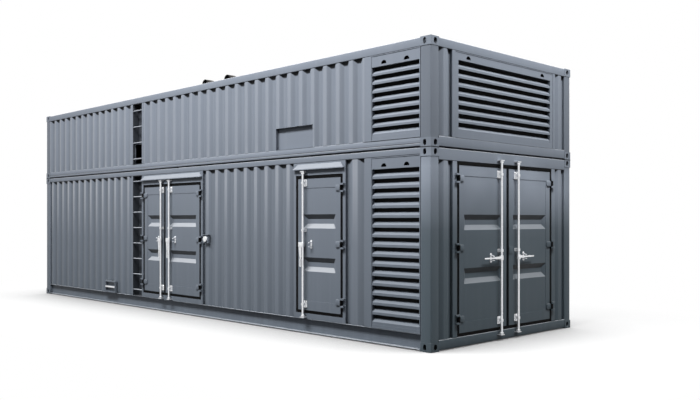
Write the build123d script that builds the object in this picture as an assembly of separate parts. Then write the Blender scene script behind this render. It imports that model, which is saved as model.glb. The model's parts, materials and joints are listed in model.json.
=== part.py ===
from build123d import *

import os

# A generator set housed in two stacked steel containers of one footprint, in millimetres, +Z up.
# The origin is the middle of the footprint, level with the undersides of the corner castings.
# +X is the end with the wide double doors, and -Y is the service side with the ladder.

# Overall sizes of the two storeys
LENGTH = 11230.0
WIDTH = 3365.0
LOWER_HEIGHT = 2591.0
UPPER_HEIGHT = 1398.0

# Plate and cuts
SHEET = 3.0
OVERRUN = 20.0

# Corner castings with their lashing holes
CASTING_LENGTH = 178.0
CASTING_WIDTH = 162.0
CASTING_HEIGHT = 118.0
CASTING_WALL = 26.0
APERTURE_LENGTH = 124.0
APERTURE_WIDTH = 63.5
APERTURE_FROM_END = 103.5
APERTURE_FROM_SIDE = 89.5
SIDE_HOLE_WIDTH = 51.0
END_HOLE_WIDTH = 63.5
FACE_HOLE_HEIGHT = 79.5

# Posts and rails between the castings
FRAME_INSET = 5.0
FOOT_DROP = 12.5
CROWN_RISE = 6.0
POST_WALL = 6.0
RAIL_DEPTH = 62.0
RAIL_WALL = 5.0
LOWER_SIDE_SILL = 210.0
LOWER_END_SILL = 130.0
LOWER_SIDE_HEADER = 85.0
LOWER_END_HEADER = 155.0
UPPER_SIDE_SILL = 118.0
UPPER_END_SILL = 132.0
UPPER_SIDE_HEADER = 115.0
UPPER_END_HEADER = 119.0

# Corrugated wall sheets: the flats and slopes are shares of one pitch
CORRUGATION_PITCH = 262.0
CORRUGATION_DEPTH = 36.0
PANEL_INSET = 8.0
OUTER_FLAT_SHARE = 0.26
SLOPE_SHARE = 0.245
INNER_FLAT_SHARE = 0.25

# Bays of the service side, from the door end: louvre, stud, wall, door, wall, doors, ladder
LOUVRE_BAY = 872.0
LOUVRE_STUD = 120.0
NEAR_WALL = 367.0
SINGLE_LEAF = 922.0
MIDDLE_WALL = 2379.0
WIDE_LEAF = 1099.0
NARROW_LEAF = 696.0
LADDER_BAY = 330.0
STUD_WIDTH = 60.0

# Bays of the door end: a corrugated strip on each side, then a jamb or a stud
DOOR_END_STRIP = 282.0
END_JAMB = 91.5
LOUVRE_END_STRIP = 273.0

# Louvres: bent blades in a flat border
LOUVRE_INSET = 9.0
LOUVRE_DEPTH = 58.0
LOUVRE_STILE = 20.0
LOUVRE_TOP = 157.0
LOWER_LOUVRE_BOTTOM = 46.0
UPPER_LOUVRE_BOTTOM = 64.0
END_LOUVRE_STILE = 75.0
END_LOUVRE_TOP = 112.0
END_LOUVRE_BOTTOM = 84.0
LOWER_BLADE_PITCH = 129.5
UPPER_BLADE_PITCH = 116.5
BLADE_SETBACK = 4.0
BLADE_DEPTH = 48.0
BLADE_LIP_SHARE = 0.27
BLADE_RISE_SHARE = 0.36
FINGER_HOLE_RADIUS = 47.0
FINGER_HOLE_FROM_EDGE = 215.0
FINGER_HOLE_RAISE = 28.0

# Door frames and leaves
JAMB = 55.0
DOOR_SILL_BAR = 77.5
DOOR_HEADER_BAR = 184.0
DOOR_GAP = 38.0
DOOR_INSET = 8.0
LEAF_DEPTH = 55.0
LEAF_STILE = 115.0
LEAF_RAIL = 148.0
LEAF_PANEL_STEP = 4.0
GROOVE_SLOPE = 68.0
GROOVE_FLAT = 68.0
GROOVE_DEPTH = 36.0
SIDE_GROOVE_SHARES = (0.3505, 0.674)
END_GROOVE_SHARES = (0.338, 0.658)
GASKET_WIDTH = 28.0
GASKET_DEPTH = 30.0
GASKET_SETBACK = 8.0

# Hinges: a barrel and strap on the leaf, two lugs and a pin on the frame
HINGE_SHARES = (0.087, 0.507, 0.918)
HINGE_PROUD = 25.0
BARREL_RADIUS = 14.0
BARREL_HEIGHT = 74.0
STRAP_LENGTH = 116.0
STRAP_THICKNESS = 14.0
STRAP_HEIGHT = 66.0
LUG_HEIGHT = 24.0
LUG_REACH = 62.0
LUG_RADIUS = 14.0
LUG_GAP = 2.0
PIN_RADIUS = 7.0
PIN_CLEARANCE = 0.3

# Lock bars with cams, handles, guides, catches and keepers
BAR_RADIUS = 16.0
BAR_STANDOFF = 45.0
BAR_CLEARANCE = 0.3
BAR_OVERLAP = 82.0
CAM_LENGTH = 62.0
CAM_WIDTH = 34.0
CAM_HEIGHT = 24.0
HUB_RADIUS = 23.0
HUB_HEIGHT = 44.0
HANDLE_WIDTH = 24.0
HANDLE_THICKNESS = 14.0
HANDLE_DROP = 330.0
HANDLE_OFFSET = 56.0
HANDLE_LENGTH = 395.0
SIDE_HANDLE_HEIGHT = 1308.0
END_HANDLE_HEIGHT = 1145.0
SINGLE_BAR_FROM_EDGE = 163.0
WIDE_BAR_FROM_EDGE = 189.0
NARROW_BAR_FROM_EDGE = 50.0
END_BAR_FROM_EDGE = 186.0
GUIDE_WIDTH = 52.0
GUIDE_HEIGHT = 34.0
GUIDE_FRONT = 24.0
GUIDE_PLATE_WIDTH = 92.0
GUIDE_PLATE_HEIGHT = 104.0
GUIDE_PLATE = 6.0
MIDDLE_PLATE_WIDTH = 58.0
MIDDLE_PLATE_HEIGHT = 44.0
SIDE_GUIDE_SHARES = (0.05, 0.607, 0.9635)
END_GUIDE_SHARES = (0.0473, 0.4815, 0.956)
END_CATCH_FROM_BAR = 190.0
SIDE_CATCH_FROM_BAR = 135.0
CATCH_WIDTH = 44.0
CATCH_RISE = 67.0
CATCH_FALL = 60.0
CATCH_CLEARANCE = 8.0
CATCH_SHELF = 10.0
KEEPER_WIDTH = 84.0
KEEPER_REACH = 62.0
KEEPER_THICKNESS = 12.0
KEEPER_CLEARANCE = 6.0

# Rain canopies over the side doors
CANOPY_DROP_FROM_RAIL = 20.0
CANOPY_END_INSET = 18.0
CANOPY_REACH = 38.0
CANOPY_FALL = 72.0
CANOPY_HIP = 81.0
CANOPY_LIP = 13.0

# Ladder let into the wall
LADDER_DEPTH = 130.0
RUNG_RADIUS = 13.0
RUNG_SETBACK = 16.0
RUNG_CHEEK = 40.0
LOWER_RUNG_PITCH = 294.0
UPPER_RUNG_PITCH = 305.0
LOWER_FIRST_RUNG = 114.0
UPPER_FIRST_RUNG = 100.0
UPPER_TRAY_OPENING = 390.0

# Small boxes on the service side
STOP_BOX_WIDTH = 150.0
STOP_BOX_HEIGHT = 138.0
STOP_BOX_DEPTH = 34.0
STOP_BOX_MIDDLE = 1341.0
STOP_HOOD_OVERHANG = 8.0
STOP_HOOD_REACH = 52.0
STOP_HOOD_THICKNESS = 6.0
STOP_LENS_RADIUS = 47.0
STOP_LENS_LENGTH = 22.0
STOP_FOOT_WIDTH = 50.0
STOP_FOOT_HEIGHT = 80.0
TERMINAL_BAY = 3
TERMINAL_WIDTH = 412.0
TERMINAL_HEIGHT = 230.0
TERMINAL_REACH = 40.0
TERMINAL_BORDER = 24.0
TERMINAL_BAR = 18.0

# Inspection hatch set back in the upper wall
HATCH_FROM_STUD = 1050.0
HATCH_WIDTH = 846.0
HATCH_HEIGHT = 336.0
HATCH_DEPTH = 52.0
HATCH_WALL = 5.0

# Floor, ceiling and roof
FLOOR_PLATE = 6.0
CROSS_PITCH = 600.0
CROSS_WIDTH = 45.0
CROSS_WALL = 5.0
CROSS_LIFT = 12.0
CEILING_DROP = 42.0
ROOF_DROP = 8.0
ROOF_RIB_DEPTH = 20.0

# Exhaust outlets on the roof
EXHAUST_SPACING = 690.0
EXHAUST_CENTRE = -25.0
EXHAUST_SETBACK = 700.0
EXHAUST_RADIUS = 85.0
EXHAUST_WALL = 5.0
EXHAUST_BEND = 135.0
EXHAUST_STUB = 62.0
EXHAUST_MOUTH = 130.0
FLASHING = 330.0
FLASHING_PLATE = 6.0

# Heights of the walls, worked out from the frame
LOWER_WALL_FOOT = FOOT_DROP + LOWER_SIDE_SILL
LOWER_WALL_HEAD = LOWER_HEIGHT - CROWN_RISE - LOWER_SIDE_HEADER
LOWER_END_FOOT = FOOT_DROP + LOWER_END_SILL
LOWER_END_HEAD = LOWER_HEIGHT - CROWN_RISE - LOWER_END_HEADER
TOP = LOWER_HEIGHT + UPPER_HEIGHT
UPPER_WALL_FOOT = LOWER_HEIGHT + FOOT_DROP + UPPER_SIDE_SILL
UPPER_WALL_HEAD = TOP - CROWN_RISE - UPPER_SIDE_HEADER
UPPER_END_FOOT = LOWER_HEIGHT + FOOT_DROP + UPPER_END_SILL
UPPER_END_HEAD = TOP - CROWN_RISE - UPPER_END_HEADER
FRAME_BACK = FRAME_INSET + RAIL_DEPTH

# Places along the service side, as X
POST_X = LENGTH / 2 - CASTING_LENGTH
POST_Y = WIDTH / 2 - CASTING_WIDTH
LOUVRE_X = POST_X - LOUVRE_BAY
STUD_X = LOUVRE_X - LOUVRE_STUD
SINGLE_RIGHT = STUD_X - NEAR_WALL
SINGLE_LEFT = SINGLE_RIGHT - SINGLE_LEAF - 2 * DOOR_GAP - 2 * JAMB
DOUBLE_RIGHT = SINGLE_LEFT - MIDDLE_WALL
DOUBLE_LEFT = DOUBLE_RIGHT - WIDE_LEAF - NARROW_LEAF - 3 * DOOR_GAP - 2 * JAMB
LADDER_LEFT = DOUBLE_LEFT - LADDER_BAY
FAR_WALL_X = LADDER_LEFT - STUD_WIDTH

# Doorways, as the clear heights between sill and header
SIDE_DOOR_FOOT = LOWER_WALL_FOOT + DOOR_SILL_BAR
SIDE_DOOR_HEAD = LOWER_WALL_HEAD - DOOR_HEADER_BAR
END_DOOR_EDGE = POST_Y - DOOR_END_STRIP - END_JAMB
END_LOUVRE_EDGE = POST_Y - LOUVRE_END_STRIP - STUD_WIDTH
HINGE_DEPTH = DOOR_INSET - HINGE_PROUD
BAR_DEPTH = DOOR_INSET - BAR_STANDOFF

# Each wall is drawn flat: u runs to the right as seen from outside, d inwards from the casting face
SERVICE_SIDE = Location((0, -WIDTH / 2, 0))
BACK_SIDE = Location((0, WIDTH / 2, 0), (0, 0, 180))
DOOR_END = Location((LENGTH / 2, 0, 0), (0, 0, 90))
FAR_END = Location((-LENGTH / 2, 0, 0), (0, 0, -90))


def block(u0, u1, d0, d1, z0, z1):
    """A box between two opposite corners, given in any order."""
    size = Box(abs(u1 - u0), abs(d1 - d0), abs(z1 - z0))
    return Pos((u0 + u1) / 2, (d0 + d1) / 2, (z0 + z1) / 2) * size


def upright(u, d, radius, z0, z1):
    """A vertical round bar."""
    return Pos(u, d, (z0 + z1) / 2) * Cylinder(radius, z1 - z0)


def plan_prism(points, z0, z1):
    """An outline in plan, raised from z0 to z1."""
    face = Pos(0, 0, z0) * make_face(Polyline(*points, close=True))
    return extrude(face, amount=z1 - z0, dir=(0, 0, 1))


def section_prism(points, u0, u1):
    """A (d, z) section carried along the wall from u0 to u1."""
    face = Pos(u0, 0, 0) * (Plane.YZ * make_face(Polyline(*points, close=True)))
    return extrude(face, amount=u1 - u0, dir=(1, 0, 0))


def front_prism(points, d0, d1):
    """A (u, z) outline seen from outside, carried inwards from d0 to d1."""
    face = Pos(0, d0, 0) * (Plane.XZ * make_face(Polyline(*points, close=True)))
    return extrude(face, amount=d1 - d0, dir=(0, 1, 0))


def wave_pitch(width):
    """The corrugation pitch that fits a whole number of times into a width."""
    return width / max(1, round(width / CORRUGATION_PITCH))


def wave(u0, u1, face, depth):
    """The outline of a corrugated sheet: both edges end in half an outer flat."""
    pitch = wave_pitch(u1 - u0)
    flat = OUTER_FLAT_SHARE * pitch
    slope = SLOPE_SHARE * pitch
    inner = INNER_FLAT_SHARE * pitch
    line = [(u0, face)]
    for k in range(round((u1 - u0) / pitch)):
        turn = u0 + k * pitch + flat / 2
        line.append((turn, face))
        line.append((turn + slope, face + depth))
        line.append((turn + slope + inner, face + depth))
        line.append((turn + 2 * slope + inner, face))
    line.append((u1, face))
    return line + [(u, d + SHEET) for u, d in reversed(line)]


def wall_sheet(u0, u1, z0, z1):
    """A corrugated wall sheet between two studs."""
    return plan_prism(wave(u0, u1, PANEL_INSET, CORRUGATION_DEPTH), z0, z1)


def tube_along(u0, u1, z0, z1):
    """A box rail along the wall, open at its ends."""
    shell = block(u0, u1, FRAME_INSET, FRAME_BACK, z0, z1)
    hollow = block(
        u0 - OVERRUN,
        u1 + OVERRUN,
        FRAME_INSET + RAIL_WALL,
        FRAME_BACK - RAIL_WALL,
        z0 + RAIL_WALL,
        z1 - RAIL_WALL,
    )
    return shell - hollow


def channel_along(u0, u1, z0, z1):
    """A channel rail along the wall with its open side outwards."""
    shell = block(u0, u1, FRAME_INSET, FRAME_BACK, z0, z1)
    hollow = block(
        u0 - OVERRUN,
        u1 + OVERRUN,
        FRAME_INSET - OVERRUN,
        FRAME_BACK - RAIL_WALL,
        z0 + RAIL_WALL,
        z1 - RAIL_WALL,
    )
    return shell - hollow


def stud(u0, u1, z0, z1):
    """A box post in the wall, open at its ends."""
    shell = block(u0, u1, FRAME_INSET, FRAME_BACK, z0, z1)
    hollow = block(
        u0 + RAIL_WALL,
        u1 - RAIL_WALL,
        FRAME_INSET + RAIL_WALL,
        FRAME_BACK - RAIL_WALL,
        z0 - OVERRUN,
        z1 + OVERRUN,
    )
    return shell - hollow


def casting(end, side, face_z, inward):
    """One hollow corner casting: its outer corner is at (end, side, face_z), its body lies inwards."""
    x0 = end * LENGTH / 2
    y0 = side * WIDTH / 2
    body = block(
        x0,
        x0 - end * CASTING_LENGTH,
        y0,
        y0 - side * CASTING_WIDTH,
        face_z,
        face_z + inward * CASTING_HEIGHT,
    )
    cavity = block(
        x0 - end * CASTING_WALL,
        x0 - end * (CASTING_LENGTH - CASTING_WALL / 2),
        y0 - side * CASTING_WALL,
        y0 - side * (CASTING_WIDTH - CASTING_WALL / 2),
        face_z + inward * CASTING_WALL,
        face_z + inward * (CASTING_HEIGHT - CASTING_WALL / 2),
    )
    hole_x = x0 - end * APERTURE_FROM_END
    hole_y = y0 - side * APERTURE_FROM_SIDE
    middle = face_z + inward * CASTING_HEIGHT / 2
    reach = CASTING_WALL + OVERRUN
    slot = extrude(SlotOverall(APERTURE_LENGTH, APERTURE_WIDTH), amount=reach, both=True)
    side_slot = extrude(SlotOverall(FACE_HOLE_HEIGHT, SIDE_HOLE_WIDTH), amount=reach, both=True)
    end_slot = extrude(SlotOverall(FACE_HOLE_HEIGHT, END_HOLE_WIDTH), amount=reach, both=True)
    side_hole = Rot(0, 0, 90) * (Rot(0, 90, 0) * side_slot)
    end_hole = Rot(0, 90, 0) * end_slot
    cuts = [
        cavity,
        Pos(hole_x, hole_y, face_z) * slot,
        Pos(hole_x, y0, middle) * side_hole,
        Pos(x0, hole_y, middle) * end_hole,
    ]
    return body - cuts


def storey_castings(foot, head):
    """The eight castings of one storey."""
    corners = [(end, side) for end in (-1, 1) for side in (-1, 1)]
    feet = [casting(end, side, foot, 1) for end, side in corners]
    crowns = [casting(end, side, head, -1) for end, side in corners]
    return feet + crowns


def storey_posts(foot, head):
    """Four hollow corner posts between the castings of one storey."""
    z0 = foot + CASTING_HEIGHT
    z1 = head - CASTING_HEIGHT
    posts = []
    for end in (-1, 1):
        for side in (-1, 1):
            x0 = end * (LENGTH / 2 - FRAME_INSET)
            y0 = side * (WIDTH / 2 - FRAME_INSET)
            x1 = end * POST_X
            y1 = side * POST_Y
            shell = block(x0, x1, y0, y1, z0, z1)
            hollow = block(
                x0 - end * POST_WALL,
                x1 + end * POST_WALL,
                y0 - side * POST_WALL,
                y1 + side * POST_WALL,
                z0 - OVERRUN,
                z1 + OVERRUN,
            )
            posts.append(shell - hollow)
    return posts


def ring_of_rails(make_side, make_end, side_span, end_span):
    """Two side rails and two end rails, each between the castings."""
    side = make_side(-POST_X, POST_X, *side_span)
    end = make_end(-POST_Y, POST_Y, *end_span)
    return [SERVICE_SIDE * side, BACK_SIDE * side, DOOR_END * end, FAR_END * end]


def finger_hole(u, z):
    """A half-round hole, flat side down, through the face of a louvre's border, and the hollow behind it."""
    radius = FINGER_HOLE_RADIUS
    back = LOUVRE_INSET + LOUVRE_DEPTH
    disc = Pos(u, LOUVRE_INSET, z) * (Rot(90, 0, 0) * Cylinder(radius, LOUVRE_DEPTH))
    face = block(u - radius, u + radius, LOUVRE_INSET - OVERRUN, LOUVRE_INSET + SHEET, z, z + radius)
    reach = radius + OVERRUN
    hollow = block(u - reach, u + reach, LOUVRE_INSET + SHEET, back + OVERRUN, z, z + reach)
    return [disc & face, hollow]


def louvre(u0, u1, z0, z1, stile, bottom, top, blade_pitch):
    """A framed louvre: each blade is a sloping plate with an upright lip along its outer, lower edge."""
    back = LOUVRE_INSET + LOUVRE_DEPTH
    frame = block(u0, u1, LOUVRE_INSET, back, z0, z1)
    hole_z0 = z0 + bottom
    hole_z1 = z1 - top
    frame = frame - block(
        u0 + stile, u1 - stile, LOUVRE_INSET - OVERRUN, back + OVERRUN, hole_z0, hole_z1
    )
    count = max(1, round((hole_z1 - hole_z0) / blade_pitch))
    pitch = (hole_z1 - hole_z0) / count
    lip = BLADE_LIP_SHARE * pitch
    rise = BLADE_RISE_SHARE * pitch
    front = LOUVRE_INSET + BLADE_SETBACK
    slope = rise / BLADE_DEPTH
    drop = SHEET * (1 + slope**2) ** 0.5
    section = [
        (front, 0),
        (front, lip),
        (front + BLADE_DEPTH, lip + rise),
        (front + BLADE_DEPTH, lip + rise - drop),
        (front + SHEET, lip + slope * SHEET - drop),
        (front + SHEET, 0),
    ]
    blade = section_prism(section, u0 + stile, u1 - stile)
    blades = [Pos(0, 0, hole_z0 + k * pitch) * blade for k in range(count)]
    hole_z = hole_z1 + FINGER_HOLE_RAISE
    inset = stile + FINGER_HOLE_FROM_EDGE
    holes = [hole for u in (u0 + inset, u1 - inset) for hole in finger_hole(u, hole_z)]
    return frame + blades - holes


def door_frame(u0, u1):
    """The jambs, sill bar and header bar of a doorway in the service side, as one welded frame."""
    outer = block(u0, u1, FRAME_INSET, FRAME_BACK, LOWER_WALL_FOOT, LOWER_WALL_HEAD)
    way = block(
        u0 + JAMB,
        u1 - JAMB,
        FRAME_INSET - OVERRUN,
        FRAME_BACK + OVERRUN,
        SIDE_DOOR_FOOT,
        SIDE_DOOR_HEAD,
    )
    return outer - way


def gasket(u0, u1, z0, z1):
    """A rubber seal strip round the inside of a doorway."""
    d0 = FRAME_INSET + GASKET_SETBACK
    d1 = d0 + GASKET_DEPTH
    outer = block(u0, u1, d0, d1, z0, z1)
    inner = block(
        u0 + GASKET_WIDTH,
        u1 - GASKET_WIDTH,
        d0 - OVERRUN,
        d1 + OVERRUN,
        z0 + GASKET_WIDTH,
        z1 - GASKET_WIDTH,
    )
    return outer - inner


def groove_ends(u0, u1, face, middle):
    """The sloping ends of a pressed groove, sunk half way into the sheet behind them."""
    half = GROOVE_FLAT / 2
    sink = SHEET / 2
    floor = face + GROOVE_DEPTH
    foot = middle - half - GROOVE_SLOPE
    head = middle + half + GROOVE_SLOPE
    pressed = [
        (face + sink, foot),
        (floor + sink, middle - half),
        (floor + sink, middle + half),
        (face + sink, head),
    ]
    run = GROOVE_SLOPE * (GROOVE_DEPTH + sink) / GROOVE_DEPTH
    ends = []
    for edge, inwards in ((u0, 1), (u1, -1)):
        ramp = [(edge, face), (edge, floor + sink), (edge + inwards * run, floor + sink)]
        ends.append(plan_prism(ramp, foot, head) & section_prism(pressed, u0, u1))
    return ends


def grooved_sheet(u0, u1, z0, z1, middles):
    """The pressed sheet of a leaf: flat, with a trapezoid groove across it at each middle height."""
    face = DOOR_INSET + LEAF_PANEL_STEP
    floor = face + GROOVE_DEPTH
    line = [(face, z0)]
    for middle in middles:
        half = GROOVE_FLAT / 2
        line.append((face, middle - half - GROOVE_SLOPE))
        line.append((floor, middle - half))
        line.append((floor, middle + half))
        line.append((face, middle + half + GROOVE_SLOPE))
    line.append((face, z1))
    back = [(d + SHEET, z) for d, z in reversed(line)]
    ends = [end for middle in middles for end in groove_ends(u0, u1, face, middle)]
    return section_prism(line + back, u0, u1) + ends


def hinge_heights(z0, z1):
    """The middle heights of the hinges of a leaf."""
    return [z0 + share * (z1 - z0) for share in HINGE_SHARES]


def leaf(u0, u1, z0, z1, groove_shares, hinge):
    """A door leaf: a flat border, a grooved sheet, and hinge straps on its right (1) or left (-1) edge."""
    back = DOOR_INSET + LEAF_DEPTH
    border = block(u0, u1, DOOR_INSET, back, z0, z1) - block(
        u0 + LEAF_STILE,
        u1 - LEAF_STILE,
        DOOR_INSET - OVERRUN,
        back + OVERRUN,
        z0 + LEAF_RAIL,
        z1 - LEAF_RAIL,
    )
    middles = [z0 + share * (z1 - z0) for share in groove_shares]
    sheet = grooved_sheet(
        u0 + LEAF_STILE, u1 - LEAF_STILE, z0 + LEAF_RAIL, z1 - LEAF_RAIL, middles
    )
    axis = hinge_line(u0, u1, hinge)
    straps = []
    bores = []
    for z in hinge_heights(z0, z1):
        straps.append(
            block(
                axis,
                axis - hinge * STRAP_LENGTH,
                DOOR_INSET - STRAP_THICKNESS,
                DOOR_INSET,
                z - STRAP_HEIGHT / 2,
                z + STRAP_HEIGHT / 2,
            )
        )
        straps.append(
            upright(axis, HINGE_DEPTH, BARREL_RADIUS, z - BARREL_HEIGHT / 2, z + BARREL_HEIGHT / 2)
        )
        bores.append(
            upright(axis, HINGE_DEPTH, PIN_RADIUS + PIN_CLEARANCE, z - BARREL_HEIGHT, z + BARREL_HEIGHT)
        )
    return border + sheet + straps - bores


def hinge_line(u0, u1, hinge):
    """Where the pin of a leaf stands: over the middle of the gap beside its hinged edge."""
    edge = u1 if hinge > 0 else u0
    return edge + hinge * DOOR_GAP / 2


def hinge_seats(u0, u1, z0, z1, hinge):
    """The frame's half of each hinge: two lugs joined by the pin that runs through the barrel."""
    axis = hinge_line(u0, u1, hinge)
    seats = []
    for z in hinge_heights(z0, z1):
        reach = BARREL_HEIGHT / 2 + LUG_GAP
        seat = upright(axis, HINGE_DEPTH, PIN_RADIUS, z - reach - LUG_HEIGHT, z + reach + LUG_HEIGHT)
        for side in (-1, 1):
            near = z + side * reach
            far = z + side * (reach + LUG_HEIGHT)
            seat = seat + upright(axis, HINGE_DEPTH, LUG_RADIUS, min(near, far), max(near, far))
            seat = seat + block(
                axis,
                axis + hinge * LUG_REACH,
                HINGE_DEPTH - LUG_RADIUS,
                FRAME_INSET,
                near,
                far,
            )
        seats.append(seat)
    return seats


def lock_bar(u, z0, z1):
    """A round bar with a cam at each end."""
    bar = upright(u, BAR_DEPTH, BAR_RADIUS, z0, z1)
    for foot in (z0, z1 - CAM_HEIGHT):
        bar = bar + block(
            u - CAM_LENGTH / 2,
            u + CAM_LENGTH / 2,
            BAR_DEPTH - CAM_WIDTH / 2,
            BAR_DEPTH + CAM_WIDTH / 2,
            foot,
            foot + CAM_HEIGHT,
        )
    return bar


def hub(u, z):
    """The collar that joins a handle to its bar."""
    return upright(u, BAR_DEPTH, HUB_RADIUS, z - HUB_HEIGHT / 2, z + HUB_HEIGHT / 2)


def handle_bar(u0, u1, z0, z1):
    """A flat length of handle in the plane of the bar."""
    half = HANDLE_THICKNESS / 2
    return block(u0, u1, BAR_DEPTH - half, BAR_DEPTH + half, z0, z1)


def hanging_handle(u, z):
    """A dropped handle: a short arm to the left of the hub and a grip that hangs from it."""
    grip = u - HANDLE_OFFSET
    half = HANDLE_WIDTH / 2
    arm = handle_bar(grip - half, u, z - half, z + half)
    drop = handle_bar(grip - half, grip + half, z - HANDLE_DROP, z + half)
    return [hub(u, z), arm, drop]


def level_handle(u, z, side):
    """A latched handle that lies level, away from the meeting edge."""
    half = HANDLE_WIDTH / 2
    return [hub(u, z), handle_bar(u, u + side * HANDLE_LENGTH, z - half, z + half)]


def face_depth(inset, height, leaf_height):
    """How deep the face of a leaf lies at a place measured from its free edge and its foot."""
    on_border = inset < LEAF_STILE or height < LEAF_RAIL or height > leaf_height - LEAF_RAIL
    return DOOR_INSET if on_border else DOOR_INSET + LEAF_PANEL_STEP


def guide(u, z, seat, plate_width, plate_height):
    """A bracket on the leaf that the bar turns in, in the middle of a foot plate."""
    nose = block(
        u - GUIDE_WIDTH / 2,
        u + GUIDE_WIDTH / 2,
        BAR_DEPTH - GUIDE_FRONT,
        seat,
        z - GUIDE_HEIGHT / 2,
        z + GUIDE_HEIGHT / 2,
    )
    plate = block(
        u - plate_width / 2,
        u + plate_width / 2,
        seat - GUIDE_PLATE,
        seat,
        z - plate_height / 2,
        z + plate_height / 2,
    )
    bore = upright(u, BAR_DEPTH, BAR_RADIUS + BAR_CLEARANCE, z - GUIDE_HEIGHT, z + GUIDE_HEIGHT)
    return nose + plate - bore


def catch(u, z, seat):
    """A handle rest on the leaf: a plate behind the handle, with a shelf just under it."""
    half = CATCH_WIDTH / 2
    shelf_top = z - HANDLE_WIDTH / 2 - CATCH_CLEARANCE
    plate = block(u - half, u + half, seat - GUIDE_PLATE, seat, z - CATCH_FALL, z + CATCH_RISE)
    shelf = block(
        u - half, u + half, BAR_DEPTH - HANDLE_THICKNESS, seat, shelf_top - CATCH_SHELF, shelf_top
    )
    return plate + shelf


def fittings(u, z0, z1, guide_shares, hinge, bar_inset, catch_reach, handle_z):
    """The guides and the catch of one leaf, whose bar stands bar_inset from the free edge."""
    height = z1 - z0
    end_plate = (GUIDE_PLATE_WIDTH, GUIDE_PLATE_HEIGHT)
    middle_plate = (MIDDLE_PLATE_WIDTH, MIDDLE_PLATE_HEIGHT)
    pieces = []
    for share, plate in zip(guide_shares, (end_plate, middle_plate, end_plate)):
        seat = face_depth(bar_inset, share * height, height)
        pieces.append(guide(u, z0 + share * height, seat, *plate))
    seat = face_depth(bar_inset + catch_reach, handle_z - z0, height)
    pieces.append(catch(u + hinge * catch_reach, handle_z, seat))
    return pieces


def keepers(u, z0, z1):
    """A shelf on the frame beyond each end of a lock bar."""
    shelves = []
    for near, away in ((z0 - KEEPER_CLEARANCE, -1), (z1 + KEEPER_CLEARANCE, 1)):
        shelves.append(
            block(
                u - KEEPER_WIDTH / 2,
                u + KEEPER_WIDTH / 2,
                FRAME_INSET - KEEPER_REACH,
                FRAME_INSET,
                near,
                near + away * KEEPER_THICKNESS,
            )
        )
    return shelves


def canopy(u0, u1):
    """A bent rain hood over a doorway with sloping ends, open below and towards the wall."""
    top = LOWER_WALL_HEAD - CANOPY_DROP_FROM_RAIL
    front = FRAME_INSET - CANOPY_REACH
    eave = top - CANOPY_FALL
    lip = eave - CANOPY_LIP
    left = u0 + CANOPY_END_INSET
    right = u1 - CANOPY_END_INSET
    outer = section_prism(
        [(FRAME_INSET, top), (front, eave), (front, lip), (FRAME_INSET, lip)], left, right
    )
    outer = outer & front_prism(
        [
            (left, lip),
            (right, lip),
            (right, eave),
            (right - CANOPY_HIP, top),
            (left + CANOPY_HIP, top),
            (left, eave),
        ],
        front,
        FRAME_INSET,
    )
    slope = CANOPY_FALL / CANOPY_REACH
    drop = SHEET * (1 + slope**2) ** 0.5
    below = lip - OVERRUN
    inner = section_prism(
        [
            (FRAME_INSET + OVERRUN, top - drop + slope * OVERRUN),
            (front + SHEET, eave + slope * SHEET - drop),
            (front + SHEET, below),
            (FRAME_INSET + OVERRUN, below),
        ],
        left,
        right,
    )
    end_slope = CANOPY_FALL / CANOPY_HIP
    end_drop = SHEET * (1 + end_slope**2) ** 0.5
    shoulder = eave + end_slope * SHEET - end_drop
    end_run = CANOPY_HIP + (end_drop + OVERRUN) / end_slope
    inner = inner & front_prism(
        [
            (left + SHEET, below),
            (right - SHEET, below),
            (right - SHEET, shoulder),
            (right - end_run, top + OVERRUN),
            (left + end_run, top + OVERRUN),
            (left + SHEET, shoulder),
        ],
        front,
        FRAME_INSET + OVERRUN,
    )
    return outer - inner


def ladder_tray(u0, u1, z0, z1, opening):
    """The recess behind the rungs: a plate box, open to the outside, and open behind up to a height."""
    outer = block(u0, u1, FRAME_INSET, FRAME_INSET + LADDER_DEPTH, z0, z1)
    inner = block(
        u0 + SHEET,
        u1 - SHEET,
        FRAME_INSET - OVERRUN,
        FRAME_INSET + LADDER_DEPTH - SHEET,
        z0 + SHEET,
        z1 - SHEET,
    )
    if opening > 0:
        outer = outer - block(
            u0 - OVERRUN,
            u1 + OVERRUN,
            FRAME_INSET + RUNG_CHEEK,
            FRAME_INSET + LADDER_DEPTH + OVERRUN,
            z0 + SHEET,
            z0 + opening,
        )
    return outer - inner


def rungs(u0, u1, z0, z1, first, pitch):
    """Round rungs across a ladder recess, as many as its height takes."""
    length = u1 - u0 - 2 * SHEET
    rod = Rot(0, 90, 0) * Cylinder(RUNG_RADIUS, length)
    count = int((z1 - z0 - first - RUNG_RADIUS) // pitch) + 1
    depth = FRAME_INSET + RUNG_SETBACK
    return [Pos((u0 + u1) / 2, depth, z0 + first + k * pitch) * rod for k in range(count)]


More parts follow.
